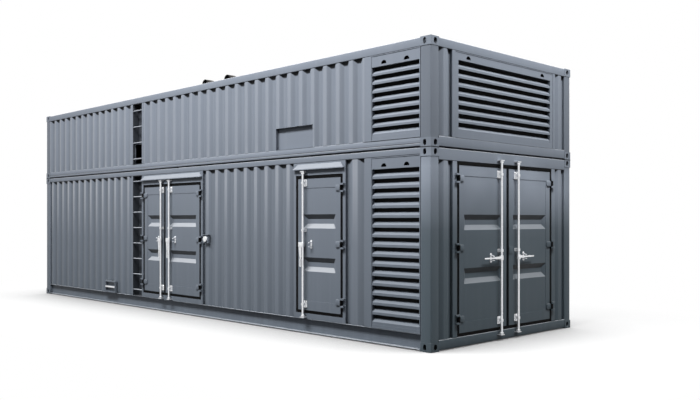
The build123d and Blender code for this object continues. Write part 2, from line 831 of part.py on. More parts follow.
def emergency_stop(u):
    """A small housing with a rain hood and a round lens, on a foot that reaches into a wave of the wall."""
    z = STOP_BOX_MIDDLE
    front = PANEL_INSET - STOP_BOX_DEPTH
    head = z + STOP_BOX_HEIGHT / 2
    half = STOP_BOX_WIDTH / 2
    box = block(u - half, u + half, front, PANEL_INSET, z - STOP_BOX_HEIGHT / 2, head)
    hood = block(
        u - half - STOP_HOOD_OVERHANG,
        u + half + STOP_HOOD_OVERHANG,
        PANEL_INSET - STOP_HOOD_REACH,
        PANEL_INSET,
        head,
        head + STOP_HOOD_THICKNESS,
    )
    foot = block(
        u - STOP_FOOT_WIDTH / 2,
        u + STOP_FOOT_WIDTH / 2,
        PANEL_INSET,
        PANEL_INSET + CORRUGATION_DEPTH,
        z - STOP_FOOT_HEIGHT / 2,
        z + STOP_FOOT_HEIGHT / 2,
    )
    lens = Pos(u, front - STOP_LENS_LENGTH / 2, z) * (
        Rot(90, 0, 0) * Cylinder(STOP_LENS_RADIUS, STOP_LENS_LENGTH)
    )
    return box + hood + foot, lens


def terminal_box(u):
    """A framed earthing and cable box that stands on the sill, with a bar across its opening."""
    z0 = LOWER_WALL_FOOT
    z1 = z0 + TERMINAL_HEIGHT
    half = TERMINAL_WIDTH / 2
    front = PANEL_INSET - TERMINAL_REACH
    box = block(u - half, u + half, front, PANEL_INSET, z0, z1)
    pocket = block(
        u - half + TERMINAL_BORDER,
        u + half - TERMINAL_BORDER,
        front - OVERRUN,
        PANEL_INSET - SHEET,
        z0 + TERMINAL_BORDER,
        z1 - TERMINAL_BORDER,
    )
    middle = (z0 + z1) / 2
    bar = block(
        u - half + TERMINAL_BORDER,
        u + half - TERMINAL_BORDER,
        front + SHEET,
        PANEL_INSET - SHEET,
        middle - TERMINAL_BAR / 2,
        middle + TERMINAL_BAR / 2,
    )
    return box - pocket + bar


def hatch_bounds():
    """The left edge, right edge and head of the hatch in the upper wall."""
    right = STUD_X - HATCH_FROM_STUD
    return right - HATCH_WIDTH, right, UPPER_WALL_FOOT + HATCH_HEIGHT


def hatch():
    """A flat cover set back in a short plate reveal."""
    u0, u1, head = hatch_bounds()
    outer = block(u0, u1, PANEL_INSET, PANEL_INSET + HATCH_DEPTH, UPPER_WALL_FOOT, head)
    inner = block(
        u0 + HATCH_WALL,
        u1 - HATCH_WALL,
        PANEL_INSET - OVERRUN,
        PANEL_INSET + HATCH_DEPTH - HATCH_WALL,
        UPPER_WALL_FOOT + HATCH_WALL,
        head - HATCH_WALL,
    )
    return outer - inner


def upper_middle_wall():
    """The long corrugated sheet of the upper storey with the hatch cut out of it."""
    u0, u1, head = hatch_bounds()
    sheet = wall_sheet(DOUBLE_LEFT + STUD_WIDTH, STUD_X, UPPER_WALL_FOOT, UPPER_WALL_HEAD)
    cut = block(
        u0, u1, PANEL_INSET - OVERRUN, FRAME_BACK + OVERRUN, UPPER_WALL_FOOT - OVERRUN, head
    )
    return sheet - cut


def deck(z0, z1):
    """A plate between the rails, notched round the four corner castings."""
    long = LENGTH / 2 - FRAME_BACK
    wide = WIDTH / 2 - FRAME_BACK
    quarter = [(long, POST_Y), (POST_X, POST_Y), (POST_X, wide)]
    points = quarter
    points = points + [(-x, y) for x, y in reversed(quarter)]
    points = points + [(-x, -y) for x, y in quarter]
    points = points + [(x, -y) for x, y in reversed(quarter)]
    return plan_prism(points, z0, z1)


def cross_members():
    """Channels across the floor between the side sills."""
    foot = FOOT_DROP + CROSS_LIFT
    head = LOWER_END_FOOT - FLOOR_PLATE
    wide = WIDTH / 2 - FRAME_BACK
    count = round(2 * POST_X / CROSS_PITCH)
    pitch = 2 * POST_X / count
    members = []
    for k in range(count):
        x0 = -POST_X + (k + 0.5) * pitch - CROSS_WIDTH / 2
        shell = block(x0, x0 + CROSS_WIDTH, -wide, wide, foot, head)
        hollow = block(
            x0 + CROSS_WALL,
            x0 + CROSS_WIDTH + OVERRUN,
            -wide - OVERRUN,
            wide + OVERRUN,
            foot + CROSS_WALL,
            head - CROSS_WALL,
        )
        members.append(shell - hollow)
    return members


def roof():
    """A sheet with shallow ribs across it, carried on to the end rails between the castings."""
    z = TOP - CROWN_RISE - ROOF_DROP
    wide = WIDTH / 2 - FRAME_BACK
    outline = [(u, z - d) for u, d in wave(-POST_X, POST_X, 0, ROOF_RIB_DEPTH)]
    ribbed = front_prism(outline, -wide, wide)
    long = LENGTH / 2 - FRAME_BACK
    ends = [block(end * POST_X, end * long, -POST_Y, POST_Y, z - SHEET, z) for end in (-1, 1)]
    return ribbed + ends


def exhaust(x):
    """A pipe that rises from a flashing plate and bends over to an open mouth towards the service side."""
    foot = TOP - CROWN_RISE - ROOF_DROP
    mouth = -WIDTH / 2 + EXHAUST_SETBACK
    y = mouth + EXHAUST_MOUTH + EXHAUST_BEND
    plate_top = foot + FLASHING_PLATE
    level = plate_top + EXHAUST_STUB + EXHAUST_BEND
    path = FilletPolyline((x, y, plate_top), (x, y, level), (x, mouth, level), radius=EXHAUST_BEND)
    start = Plane(origin=path @ 0, z_dir=path % 0)
    ring = Circle(EXHAUST_RADIUS) - Circle(EXHAUST_RADIUS - EXHAUST_WALL)
    pipe = sweep(start * ring, path=path)
    half = FLASHING / 2
    plate = block(x - half, x + half, y - half, y + half, foot, plate_top)
    return plate + pipe


# Leaves, as (left edge, right edge, hinged side) on their own wall
SINGLE = (SINGLE_RIGHT - JAMB - DOOR_GAP - SINGLE_LEAF, SINGLE_RIGHT - JAMB - DOOR_GAP, 1)
WIDE = (DOUBLE_RIGHT - JAMB - DOOR_GAP - WIDE_LEAF, DOUBLE_RIGHT - JAMB - DOOR_GAP, 1)
NARROW = (DOUBLE_LEFT + JAMB + DOOR_GAP, DOUBLE_LEFT + JAMB + DOOR_GAP + NARROW_LEAF, -1)
END_LEFT = (-END_DOOR_EDGE + DOOR_GAP, -DOOR_GAP / 2, -1)
END_RIGHT = (DOOR_GAP / 2, END_DOOR_EDGE - DOOR_GAP, 1)

# Leaf heights, and the heights between which the lock bars run
SIDE_LEAF_Z = (SIDE_DOOR_FOOT + DOOR_GAP, SIDE_DOOR_HEAD - DOOR_GAP)
END_LEAF_Z = (LOWER_END_FOOT + DOOR_GAP, LOWER_END_HEAD - DOOR_GAP)
SIDE_BAR_Z = (SIDE_LEAF_Z[0] - BAR_OVERLAP, SIDE_LEAF_Z[1] + BAR_OVERLAP)
END_BAR_Z = (END_LEAF_Z[0] - BAR_OVERLAP, END_LEAF_Z[1] + BAR_OVERLAP)

# Lock bars, each measured from the free edge of its leaf
SINGLE_BAR = SINGLE[0] + SINGLE_BAR_FROM_EDGE
WIDE_BAR = WIDE[0] + WIDE_BAR_FROM_EDGE
NARROW_BAR = NARROW[1] - NARROW_BAR_FROM_EDGE
END_LEFT_BAR = END_LEFT[1] - END_BAR_FROM_EDGE
END_RIGHT_BAR = END_RIGHT[0] + END_BAR_FROM_EDGE


def side_leaf(place):
    """A leaf of the service side."""
    return SERVICE_SIDE * leaf(place[0], place[1], *SIDE_LEAF_Z, SIDE_GROOVE_SHARES, place[2])


def end_leaf(place):
    """A leaf of the door end."""
    return DOOR_END * leaf(place[0], place[1], *END_LEAF_Z, END_GROOVE_SHARES, place[2])


def side_bar(u):
    """A lock bar of the service side, with its handle hanging."""
    return SERVICE_SIDE * (lock_bar(u, *SIDE_BAR_Z) + hanging_handle(u, SIDE_HANDLE_HEIGHT))


def end_bar(u, side):
    """A lock bar of the door end, with its handle latched level."""
    return DOOR_END * (lock_bar(u, *END_BAR_Z) + level_handle(u, END_HANDLE_HEIGHT, side))


def side_fittings(u, hinge, bar_inset):
    """The guides and the catch of a leaf of the service side."""
    pieces = fittings(
        u,
        *SIDE_LEAF_Z,
        SIDE_GUIDE_SHARES,
        hinge,
        bar_inset,
        SIDE_CATCH_FROM_BAR,
        SIDE_HANDLE_HEIGHT,
    )
    return [SERVICE_SIDE * piece for piece in pieces]


def end_fittings(u, hinge):
    """The guides and the catch of a leaf of the door end."""
    pieces = fittings(
        u,
        *END_LEAF_Z,
        END_GUIDE_SHARES,
        hinge,
        END_BAR_FROM_EDGE,
        END_CATCH_FROM_BAR,
        END_HANDLE_HEIGHT,
    )
    return [DOOR_END * piece for piece in pieces]


def all_hinge_seats():
    """The frame's halves of the fifteen hinges."""
    seats = []
    for place in (SINGLE, WIDE, NARROW):
        seats += [SERVICE_SIDE * seat for seat in hinge_seats(*place[:2], *SIDE_LEAF_Z, place[2])]
    for place in (END_LEFT, END_RIGHT):
        seats += [DOOR_END * seat for seat in hinge_seats(*place[:2], *END_LEAF_Z, place[2])]
    return seats


def all_keepers():
    """The keepers of the five lock bars."""
    shelves = []
    for u in (SINGLE_BAR, WIDE_BAR, NARROW_BAR):
        shelves += [SERVICE_SIDE * shelf for shelf in keepers(u, *SIDE_BAR_Z)]
    for u in (END_LEFT_BAR, END_RIGHT_BAR):
        shelves += [DOOR_END * shelf for shelf in keepers(u, *END_BAR_Z)]
    return shelves


def side_louvre(foot, head, bottom, blade_pitch):
    """The louvre next to the door end, drawn for the service side."""
    return louvre(LOUVRE_X, POST_X, foot, head, LOUVRE_STILE, bottom, LOUVRE_TOP, blade_pitch)


def mirrored_to_back(piece):
    """The same piece on the back side, opposite its place on the service side."""
    return mirror(SERVICE_SIDE * piece, Plane.XZ)


def pair_of_strips(edge, foot, head):
    """Corrugated strips of the door end between the posts and what stands at an edge."""
    return [wall_sheet(-POST_Y, -edge, foot, head), wall_sheet(edge, POST_Y, foot, head)]


lower_louvre = side_louvre(LOWER_WALL_FOOT, LOWER_WALL_HEAD, LOWER_LOUVRE_BOTTOM, LOWER_BLADE_PITCH)
upper_louvre = side_louvre(UPPER_WALL_FOOT, UPPER_WALL_HEAD, UPPER_LOUVRE_BOTTOM, UPPER_BLADE_PITCH)
end_louvre = louvre(
    -END_LOUVRE_EDGE,
    END_LOUVRE_EDGE,
    UPPER_END_FOOT,
    UPPER_END_HEAD,
    END_LOUVRE_STILE,
    END_LOUVRE_BOTTOM,
    END_LOUVRE_TOP,
    UPPER_BLADE_PITCH,
)
lower_louvre_stud = stud(STUD_X, LOUVRE_X, LOWER_WALL_FOOT, LOWER_WALL_HEAD)
upper_louvre_stud = stud(STUD_X, LOUVRE_X, UPPER_WALL_FOOT, UPPER_WALL_HEAD)
lower_ladder_stud = stud(FAR_WALL_X, LADDER_LEFT, LOWER_WALL_FOOT, LOWER_WALL_HEAD)
upper_ladder_studs = [
    stud(FAR_WALL_X, LADDER_LEFT, UPPER_WALL_FOOT, UPPER_WALL_HEAD),
    stud(DOUBLE_LEFT, DOUBLE_LEFT + STUD_WIDTH, UPPER_WALL_FOOT, UPPER_WALL_HEAD),
]
end_jambs = [
    stud(-END_DOOR_EDGE - END_JAMB, -END_DOOR_EDGE, LOWER_END_FOOT, LOWER_END_HEAD),
    stud(END_DOOR_EDGE, END_DOOR_EDGE + END_JAMB, LOWER_END_FOOT, LOWER_END_HEAD),
]
end_louvre_studs = [
    stud(-END_LOUVRE_EDGE - STUD_WIDTH, -END_LOUVRE_EDGE, UPPER_END_FOOT, UPPER_END_HEAD),
    stud(END_LOUVRE_EDGE, END_LOUVRE_EDGE + STUD_WIDTH, UPPER_END_FOOT, UPPER_END_HEAD),
]
stop_box, stop_lens = emergency_stop(DOUBLE_RIGHT + wave_pitch(MIDDLE_WALL) / 2)
terminal_u = FAR_WALL_X - TERMINAL_BAY * wave_pitch(FAR_WALL_X + POST_X)
gaskets = [
    SERVICE_SIDE * gasket(SINGLE_LEFT + JAMB, SINGLE_RIGHT - JAMB, SIDE_DOOR_FOOT, SIDE_DOOR_HEAD),
    SERVICE_SIDE * gasket(DOUBLE_LEFT + JAMB, DOUBLE_RIGHT - JAMB, SIDE_DOOR_FOOT, SIDE_DOOR_HEAD),
    DOOR_END * gasket(-END_DOOR_EDGE, END_DOOR_EDGE, LOWER_END_FOOT, LOWER_END_HEAD),
]
lower_header_z = (LOWER_WALL_HEAD, LOWER_HEIGHT - CROWN_RISE)
lower_end_header_z = (LOWER_END_HEAD, LOWER_HEIGHT - CROWN_RISE)
upper_foot = LOWER_HEIGHT + FOOT_DROP
ceiling_z = LOWER_HEIGHT - CEILING_DROP
rung_span = (LADDER_LEFT, DOUBLE_LEFT)

nodes = {
    "lower_corner_castings": storey_castings(0, LOWER_HEIGHT),
    "upper_corner_castings": storey_castings(LOWER_HEIGHT, TOP),
    "lower_corner_posts": storey_posts(0, LOWER_HEIGHT),
    "upper_corner_posts": storey_posts(LOWER_HEIGHT, TOP),
    "lower_bottom_rails": ring_of_rails(
        channel_along, tube_along, (FOOT_DROP, LOWER_WALL_FOOT), (FOOT_DROP, LOWER_END_FOOT)
    ),
    "lower_top_rails": ring_of_rails(tube_along, tube_along, lower_header_z, lower_end_header_z),
    "upper_bottom_rails": ring_of_rails(
        tube_along, tube_along, (upper_foot, UPPER_WALL_FOOT), (upper_foot, UPPER_END_FOOT)
    ),
    "upper_top_rails": ring_of_rails(
        tube_along, tube_along, (UPPER_WALL_HEAD, TOP - CROWN_RISE), (UPPER_END_HEAD, TOP - CROWN_RISE)
    ),
    "floor_plate": [deck(LOWER_END_FOOT - FLOOR_PLATE, LOWER_END_FOOT)],
    "floor_cross_members": cross_members(),
    "lower_ceiling": [deck(ceiling_z - SHEET, ceiling_z)],
    "roof_sheet": [roof()],
    "exhaust_outlets": [
        exhaust(EXHAUST_CENTRE - EXHAUST_SPACING / 2),
        exhaust(EXHAUST_CENTRE + EXHAUST_SPACING / 2),
    ],
    "lower_wall_far": [SERVICE_SIDE * wall_sheet(-POST_X, FAR_WALL_X, LOWER_WALL_FOOT, LOWER_WALL_HEAD)],
    "lower_wall_middle": [
        SERVICE_SIDE * wall_sheet(DOUBLE_RIGHT, SINGLE_LEFT, LOWER_WALL_FOOT, LOWER_WALL_HEAD)
    ],
    "lower_wall_near": [SERVICE_SIDE * wall_sheet(SINGLE_RIGHT, STUD_X, LOWER_WALL_FOOT, LOWER_WALL_HEAD)],
    "lower_side_louvre": [SERVICE_SIDE * lower_louvre],
    "lower_back_wall": [
        mirrored_to_back(wall_sheet(-POST_X, STUD_X, LOWER_WALL_FOOT, LOWER_WALL_HEAD))
    ],
    "lower_back_louvre": [mirrored_to_back(lower_louvre)],
    "lower_far_end_wall": [FAR_END * wall_sheet(-POST_Y, POST_Y, LOWER_END_FOOT, LOWER_END_HEAD)],
    "lower_end_strips": [
        DOOR_END * strip for strip in pair_of_strips(END_DOOR_EDGE + END_JAMB, LOWER_END_FOOT, LOWER_END_HEAD)
    ],
    "lower_wall_studs": [
        SERVICE_SIDE * lower_louvre_stud,
        SERVICE_SIDE * lower_ladder_stud,
        mirrored_to_back(lower_louvre_stud),
    ],
    "upper_wall_far": [SERVICE_SIDE * wall_sheet(-POST_X, FAR_WALL_X, UPPER_WALL_FOOT, UPPER_WALL_HEAD)],
    "upper_wall_middle": [SERVICE_SIDE * upper_middle_wall()],
    "upper_hatch": [SERVICE_SIDE * hatch()],
    "upper_side_louvre": [SERVICE_SIDE * upper_louvre],
    "upper_back_wall": [
        mirrored_to_back(wall_sheet(-POST_X, STUD_X, UPPER_WALL_FOOT, UPPER_WALL_HEAD))
    ],
    "upper_back_louvre": [mirrored_to_back(upper_louvre)],
    "upper_far_end_wall": [FAR_END * wall_sheet(-POST_Y, POST_Y, UPPER_END_FOOT, UPPER_END_HEAD)],
    "upper_end_strips": [
        DOOR_END * strip
        for strip in pair_of_strips(END_LOUVRE_EDGE + STUD_WIDTH, UPPER_END_FOOT, UPPER_END_HEAD)
    ],
    "upper_end_louvre": [DOOR_END * end_louvre],
    "upper_wall_studs": [
        SERVICE_SIDE * upper_louvre_stud,
        mirrored_to_back(upper_louvre_stud),
        *[SERVICE_SIDE * piece for piece in upper_ladder_studs],
        *[DOOR_END * piece for piece in end_louvre_studs],
    ],
    "single_door_frame": [SERVICE_SIDE * door_frame(SINGLE_LEFT, SINGLE_RIGHT)],
    "single_door_leaf": [side_leaf(SINGLE)],
    "single_door_fittings": side_fittings(SINGLE_BAR, 1, SINGLE_BAR_FROM_EDGE),
    "single_door_lock_bar": [side_bar(SINGLE_BAR)],
    "double_door_frame": [SERVICE_SIDE * door_frame(DOUBLE_LEFT, DOUBLE_RIGHT)],
    "wide_door_leaf": [side_leaf(WIDE)],
    "wide_door_fittings": side_fittings(WIDE_BAR, 1, WIDE_BAR_FROM_EDGE),
    "wide_door_lock_bar": [side_bar(WIDE_BAR)],
    "narrow_door_leaf": [side_leaf(NARROW)],
    "narrow_door_fittings": side_fittings(NARROW_BAR, -1, NARROW_BAR_FROM_EDGE),
    "narrow_door_lock_bar": [side_bar(NARROW_BAR)],
    "end_door_jambs": [DOOR_END * jamb for jamb in end_jambs],
    "end_left_door_leaf": [end_leaf(END_LEFT)],
    "end_left_door_fittings": end_fittings(END_LEFT_BAR, -1),
    "end_left_door_lock_bar": [end_bar(END_LEFT_BAR, -1)],
    "end_right_door_leaf": [end_leaf(END_RIGHT)],
    "end_right_door_fittings": end_fittings(END_RIGHT_BAR, 1),
    "end_right_door_lock_bar": [end_bar(END_RIGHT_BAR, 1)],
    "door_hinge_seats": all_hinge_seats(),
    "lock_keepers": all_keepers(),
    "door_gaskets": gaskets,
    "door_canopies": [
        SERVICE_SIDE * canopy(SINGLE_LEFT, SINGLE_RIGHT),
        SERVICE_SIDE * canopy(DOUBLE_LEFT, DOUBLE_RIGHT),
    ],
    "ladder_recess": [
        SERVICE_SIDE * ladder_tray(*rung_span, LOWER_WALL_FOOT, LOWER_WALL_HEAD, 0),
        SERVICE_SIDE * ladder_tray(*rung_span, UPPER_WALL_FOOT, UPPER_WALL_HEAD, UPPER_TRAY_OPENING),
    ],
    "ladder_rungs": [
        SERVICE_SIDE * rung
        for rung in rungs(*rung_span, LOWER_WALL_FOOT, LOWER_WALL_HEAD, LOWER_FIRST_RUNG, LOWER_RUNG_PITCH)
        + rungs(*rung_span, UPPER_WALL_FOOT, UPPER_WALL_HEAD, UPPER_FIRST_RUNG, UPPER_RUNG_PITCH)
    ],
    "emergency_stop_box": [SERVICE_SIDE * stop_box],
    "emergency_stop_lens": [SERVICE_SIDE * stop_lens],
    "terminal_box": [SERVICE_SIDE * terminal_box(terminal_u)],
}

os.makedirs("parts", exist_ok=True)
for name, pieces in nodes.items():
    solids = [solid for piece in pieces for solid in piece.solids()]
    shape = solids[0] if len(solids) == 1 else Compound(solids)
    export_step(shape, f"parts/{name}.step")
    print(name, len(solids), "solids", round(sum(solid.volume for solid in solids)), "mm3")
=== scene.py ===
# %% [markdown]
# A generator set that lives in two steel containers, stacked one on the other. The lower one has doors that
# people walk through, the upper one has air louvres and a hatch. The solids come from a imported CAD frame
# that never moves. This lesson dresses that frame: it sets the camera and the light, mixes the finishes,
# and adds the rolled, bent and bolted pieces that give a steel housing its character.

# %% Load the frame
import json
import math

import bpy
import numpy as np
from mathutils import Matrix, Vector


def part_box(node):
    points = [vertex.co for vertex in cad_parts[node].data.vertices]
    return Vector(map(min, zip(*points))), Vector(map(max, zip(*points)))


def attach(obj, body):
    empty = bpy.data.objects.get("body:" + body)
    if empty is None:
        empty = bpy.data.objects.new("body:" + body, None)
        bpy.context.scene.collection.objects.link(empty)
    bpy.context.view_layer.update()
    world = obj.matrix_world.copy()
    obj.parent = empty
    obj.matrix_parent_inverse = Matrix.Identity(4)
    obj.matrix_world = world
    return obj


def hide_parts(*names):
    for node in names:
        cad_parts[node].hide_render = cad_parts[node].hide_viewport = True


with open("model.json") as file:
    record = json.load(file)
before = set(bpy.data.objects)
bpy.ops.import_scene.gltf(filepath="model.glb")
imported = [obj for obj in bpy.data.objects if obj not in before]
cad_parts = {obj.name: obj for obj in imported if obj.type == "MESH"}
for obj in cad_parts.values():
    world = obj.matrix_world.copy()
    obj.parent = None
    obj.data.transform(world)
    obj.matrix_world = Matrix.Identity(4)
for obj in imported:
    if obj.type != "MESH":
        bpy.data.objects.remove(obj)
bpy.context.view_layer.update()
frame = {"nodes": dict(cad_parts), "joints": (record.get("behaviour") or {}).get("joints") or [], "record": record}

# %% [markdown]
# Everything is placed from the sizes of the frame, so the first step reads them once. The corner castings
# stand at the outer corners of both storeys, so their boxes give the outline of the whole housing.

# %% Sizes of the housing
lower_low, lower_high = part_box("lower_corner_castings")
LENGTH = lower_high.x - lower_low.x
WIDTH = lower_high.y - lower_low.y
STOREY = lower_high.z
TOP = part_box("upper_corner_castings")[1].z
print(f"Housing {LENGTH:.3f} x {WIDTH:.3f} x {TOP:.3f} m, lower storey {STOREY:.3f} m")

# %% [markdown]
# The camera stands at eye height off one corner, so that a long side and an end show together. It looks
# level, which keeps every upright edge upright, and a small lens shift frames the object instead of a tilt.
# That is how an architect's camera is used, and it is why the posts do not lean.

# %% The camera
CAMERA_OFF_END = 6.343
CAMERA_OFF_SIDE = 7.662
EYE_HEIGHT = 1.678
CAMERA_TURN = math.radians(45.46)
LENS = 40.7
SENSOR_WIDTH = 36.0
LENS_RISE = 0.0273
SIGHT = 300.0
scene = bpy.context.scene
camera_data = bpy.data.cameras.new("camera")
camera_data.lens = LENS
camera_data.sensor_width = SENSOR_WIDTH
camera_data.shift_y = LENS_RISE
camera_data.clip_end = SIGHT
camera = bpy.data.objects.new("camera", camera_data)
camera.location = (lower_high.x + CAMERA_OFF_END, lower_low.y - CAMERA_OFF_SIDE, EYE_HEIGHT)
camera.rotation_euler = (math.pi / 2, 0.0, CAMERA_TURN)
scene.collection.objects.link(camera)
scene.camera = camera
scene.view_settings.view_transform = "Standard"
print("Camera at", [round(v, 3) for v in camera.location])

# %% [markdown]
# Finishes are networks of shader nodes. A handful of helpers keep each network as short as a recipe: one
# makes a node, one feeds a socket with either a number or another node's output, and the rest are the few
# steps that every finish uses again, such as a sum, cloudy noise or a value stretched to a new range.

# %% Helpers for shader nodes
MIX_FACTOR, MIX_FIRST, MIX_SECOND, MIX_RESULT = 0, 6, 7, 2
PLAIN_RESULTS = ("LENGTH", "DOT_PRODUCT")
MOST_OF_A_CLOUD = (0.3, 0.7)


def feed(tree, socket, value):
    """Links a socket to another node's output, or sets its plain value."""
    if isinstance(value, bpy.types.NodeSocket):
        tree.links.new(value, socket)
    else:
        socket.default_value = value


def add_node(tree, kind, inputs=None, **settings):
    """Makes one shader node: settings are its attributes, inputs its socket values by name or number."""
    made = tree.nodes.new("ShaderNode" + kind)
    for key, value in settings.items():
        setattr(made, key, value)
    for key, value in (inputs or {}).items():
        feed(tree, made.inputs[key], value)
    return made


def reckon(tree, operation, *values):
    """One sum on plain values."""
    return add_node(tree, "Math", dict(enumerate(values)), operation=operation).outputs["Value"]


def reckon_vector(tree, operation, *values):
    """One sum on vectors. A length or a dot product comes out as a plain value."""
    output = "Value" if operation in PLAIN_RESULTS else "Vector"
    return add_node(tree, "VectorMath", dict(enumerate(values)), operation=operation).outputs[output]


def times(tree, product, *values):
    """The product of several values."""
    for value in values:
        product = reckon(tree, "MULTIPLY", product, value)
    return product


def cloud(tree, place, scale, detail=2.0):
    """Soft noise from 0 to 1 with about scale blotches to the metre."""
    return add_node(tree, "TexNoise", {"Vector": place, "Scale": scale, "Detail": detail}).outputs["Fac"]


def spread(tree, value, low, high, to_low=0.0, to_high=1.0):
    """The value carried in a straight line from low..high to to_low..to_high, and held at the ends."""
    limits = {"Value": value, "From Min": low, "From Max": high, "To Min": to_low, "To Max": to_high}
    return add_node(tree, "MapRange", limits).outputs["Result"]


def mixed(tree, factor, first, second):
    """A colour between two colours."""
    inputs = {MIX_FACTOR: factor, MIX_FIRST: first, MIX_SECOND: second}
    return add_node(tree, "Mix", inputs, data_type="RGBA").outputs[MIX_RESULT]


def blended(tree, factor, first, second):
    """A shader between two shaders."""
    return add_node(tree, "MixShader", {0: factor, 1: first, 2: second}).outputs["Shader"]


def open_air(tree, reach, samples):
    """How much of the space within reach a point can see: 1 in the open, near 0 deep in a corner."""
    return add_node(tree, "AmbientOcclusion", {"Distance": reach}, samples=samples).outputs["AO"]


def bumped(tree, height, depth, normal=None):
    """A normal that rises and falls with a height, to a depth in metres."""
    inputs = {"Height": height, "Distance": depth, "Strength": 1.0}
    if normal is not None:
        inputs["Normal"] = normal
    return add_node(tree, "Bump", inputs).outputs["Normal"]


def empty_tree(owner):
    """The cleared node tree of a material or a world."""
    owner.use_nodes = True
    owner.node_tree.nodes.clear()
    return owner.node_tree


def new_finish(name):
    """An empty finish: its material, node tree, shader and the place on the object."""
    material = bpy.data.materials.new(name)
    tree = empty_tree(material)
    shader = add_node(tree, "BsdfPrincipled")
    add_node(tree, "OutputMaterial", {"Surface": shader.outputs["BSDF"]})
    return material, tree, shader, add_node(tree, "TexCoord").outputs["Object"]


print("Node helpers ready")

# %% [markdown]
# The housing is sprayed with a satin blue-grey paint, and on the real thing its tone is never quite even. A
# flat colour would look like plastic, so the paint is mixed in layers, and some of them are painted light
# and shade. The first layers are clouds over a metre wide, faint upright streaks from the rain, which are a
# cloud too, but stretched, and a painted shade that darkens the paint towards the floor. Each range of four
# numbers says between which values a layer changes, and its share at both.

# %% Sprayed colour and painted shade towards the floor
PAINT = (0.204, 0.229, 0.271, 1.0)
PAINT_DEEP = (0.180, 0.204, 0.245, 1.0)
PAINT_CLOUD = 0.7
RAIN_STREAK = (0.226, 0.249, 0.288, 1.0)
STREAK_STRETCH = (9.0, 9.0, 0.35)
STREAK_RANGE = (0.52, 0.78, 0.0, 0.4)
# Painted shade: a dark tone laid on thickest at the floor and thinning with height.
LOW_SHADE = (0.047, 0.065, 0.080, 1.0)
LOW_SHADE_BY_HEIGHT = (0.0, 3.3, 0.6, 0.0)
LOW_SHADE_BY_STREAK = (0.2, 0.8, 0.6, 1.0)


def over(tree, colour, layer, *shares):
    """A layer over a colour, as thick as the product of its shares."""
    return mixed(tree, times(tree, *shares), colour, layer)


def sprayed_colour(tree, place, height):
    """Two near tones by a cloud, pale streaks where a stretched cloud is thick, and a painted shade that is
    thickest at the floor, thins with height and is thinner between the streaks."""
    colour = mixed(tree, cloud(tree, place, PAINT_CLOUD, 3.0), PAINT_DEEP, PAINT)
    stretched = add_node(tree, "Mapping", {"Vector": place, "Scale": STREAK_STRETCH}).outputs["Vector"]
    streak = cloud(tree, stretched, 1.0, 4.0)
    colour = over(tree, colour, RAIN_STREAK, spread(tree, streak, *STREAK_RANGE))
    low_shade = spread(tree, height, *LOW_SHADE_BY_HEIGHT)
    return over(tree, colour, LOW_SHADE, low_shade, spread(tree, streak, *LOW_SHADE_BY_STREAK))


# The painted shade towards the floor reaches up to this height.
print("Road film up to", LOW_SHADE_BY_HEIGHT[1], "m")

# %% [markdown]
# On the door end the lower half is painted darker and greener, as shade, and the tops of its doors are
# painted paler in patches, as a reflection. Both depend only on where a point lies, so they are read from
# its height and its place along the housing.

# %% Painted shade and reflection on the door end
END_DEPTH = 0.2
END_BLEND = 0.05
# Painted shade on the lower half of the door end.
END_SHADE = (0.018, 0.040, 0.044, 1.0)
END_SHADE_BY_HEIGHT = (1.4, 2.4, 0.5, 0.08)
# A painted reflection in patches on the tops of the doors.
END_REFLECTION = (0.36, 0.405, 0.48, 1.0)
REFLECTION_FOOT = (1.55, 2.15, 0.0, 1.0)
REFLECTION_HEAD = (2.35, 2.6, 1.0, 0.0)
REFLECTION_CLOUD = 0.9
REFLECTION_PATCHES = (0.35, 0.65, 0.25, 0.6)


def on_door_end(tree, along):
    """0 along the housing, and 1 on its last stretch before the door end."""
    start = LENGTH / 2 - END_DEPTH
    return spread(tree, along, start, start + END_BLEND)


def end_shade_and_reflection(tree, place, height, on_end, colour):
    """On the door end alone: a painted shade that is thickest low down and thins with height, then a painted
    reflection by a cloud within a band of heights."""
    colour = over(tree, colour, END_SHADE, on_end, spread(tree, height, *END_SHADE_BY_HEIGHT))
    band = times(tree, spread(tree, height, *REFLECTION_FOOT), spread(tree, height, *REFLECTION_HEAD))
    patches = spread(tree, cloud(tree, place, REFLECTION_CLOUD, 1.0), *REFLECTION_PATCHES)
    return over(tree, colour, END_REFLECTION, on_end, band, patches)


# The painted reflection on the door tops lies between these heights.
print("Chalk from", REFLECTION_FOOT[0], "to", REFLECTION_HEAD[1], "m")

# %% [markdown]
# Rolled walls get their light and shade painted in. Their crests are painted pale, as a highlight, their
# hollows darker, as shade, most of all at the head of the lower walls and on the far wall, and right under a
# rail a painted shadow turns the hollows black. Two numbers that the sheet will carry on its points say how
# near a crest and how far under a rail a point lies, and an Attribute node reads them.

# %% Painted light and shade on the rolled walls
# A painted highlight on the crests, painted shade in the hollows, and a painted shadow under the rails.
CREST_HIGHLIGHT = (0.37, 0.39, 0.43, 1.0)
HIGHLIGHT_BY_CREST = (0.9, 0.995, 0.0, 0.45)
HIGHLIGHT_BY_HEIGHT = (1.3, 2.3, 0.1, 1.0)
HOLLOW_SHADE = (0.105, 0.122, 0.142, 1.0)
HOLLOW_SHADE_BY_CREST = (0.2, 0.8, 0.3, 0.0)
SHADING_ON_END = (0.0, 1.0, 1.0, 0.3)
SHADING_ALONG = (-3.0, -1.6, 1.8, 1.0)
SHADING_BY_HEIGHT = (2.4, 2.9, 1.0, 0.45)
# The near black of painted shadows and of painted shade in corners and on undersides.
PAINTED_SHADE = (0.012, 0.013, 0.015, 1.0)
RAIL_SHADOW_RANGE = (-0.008, 0.008, 0.0, 0.95)


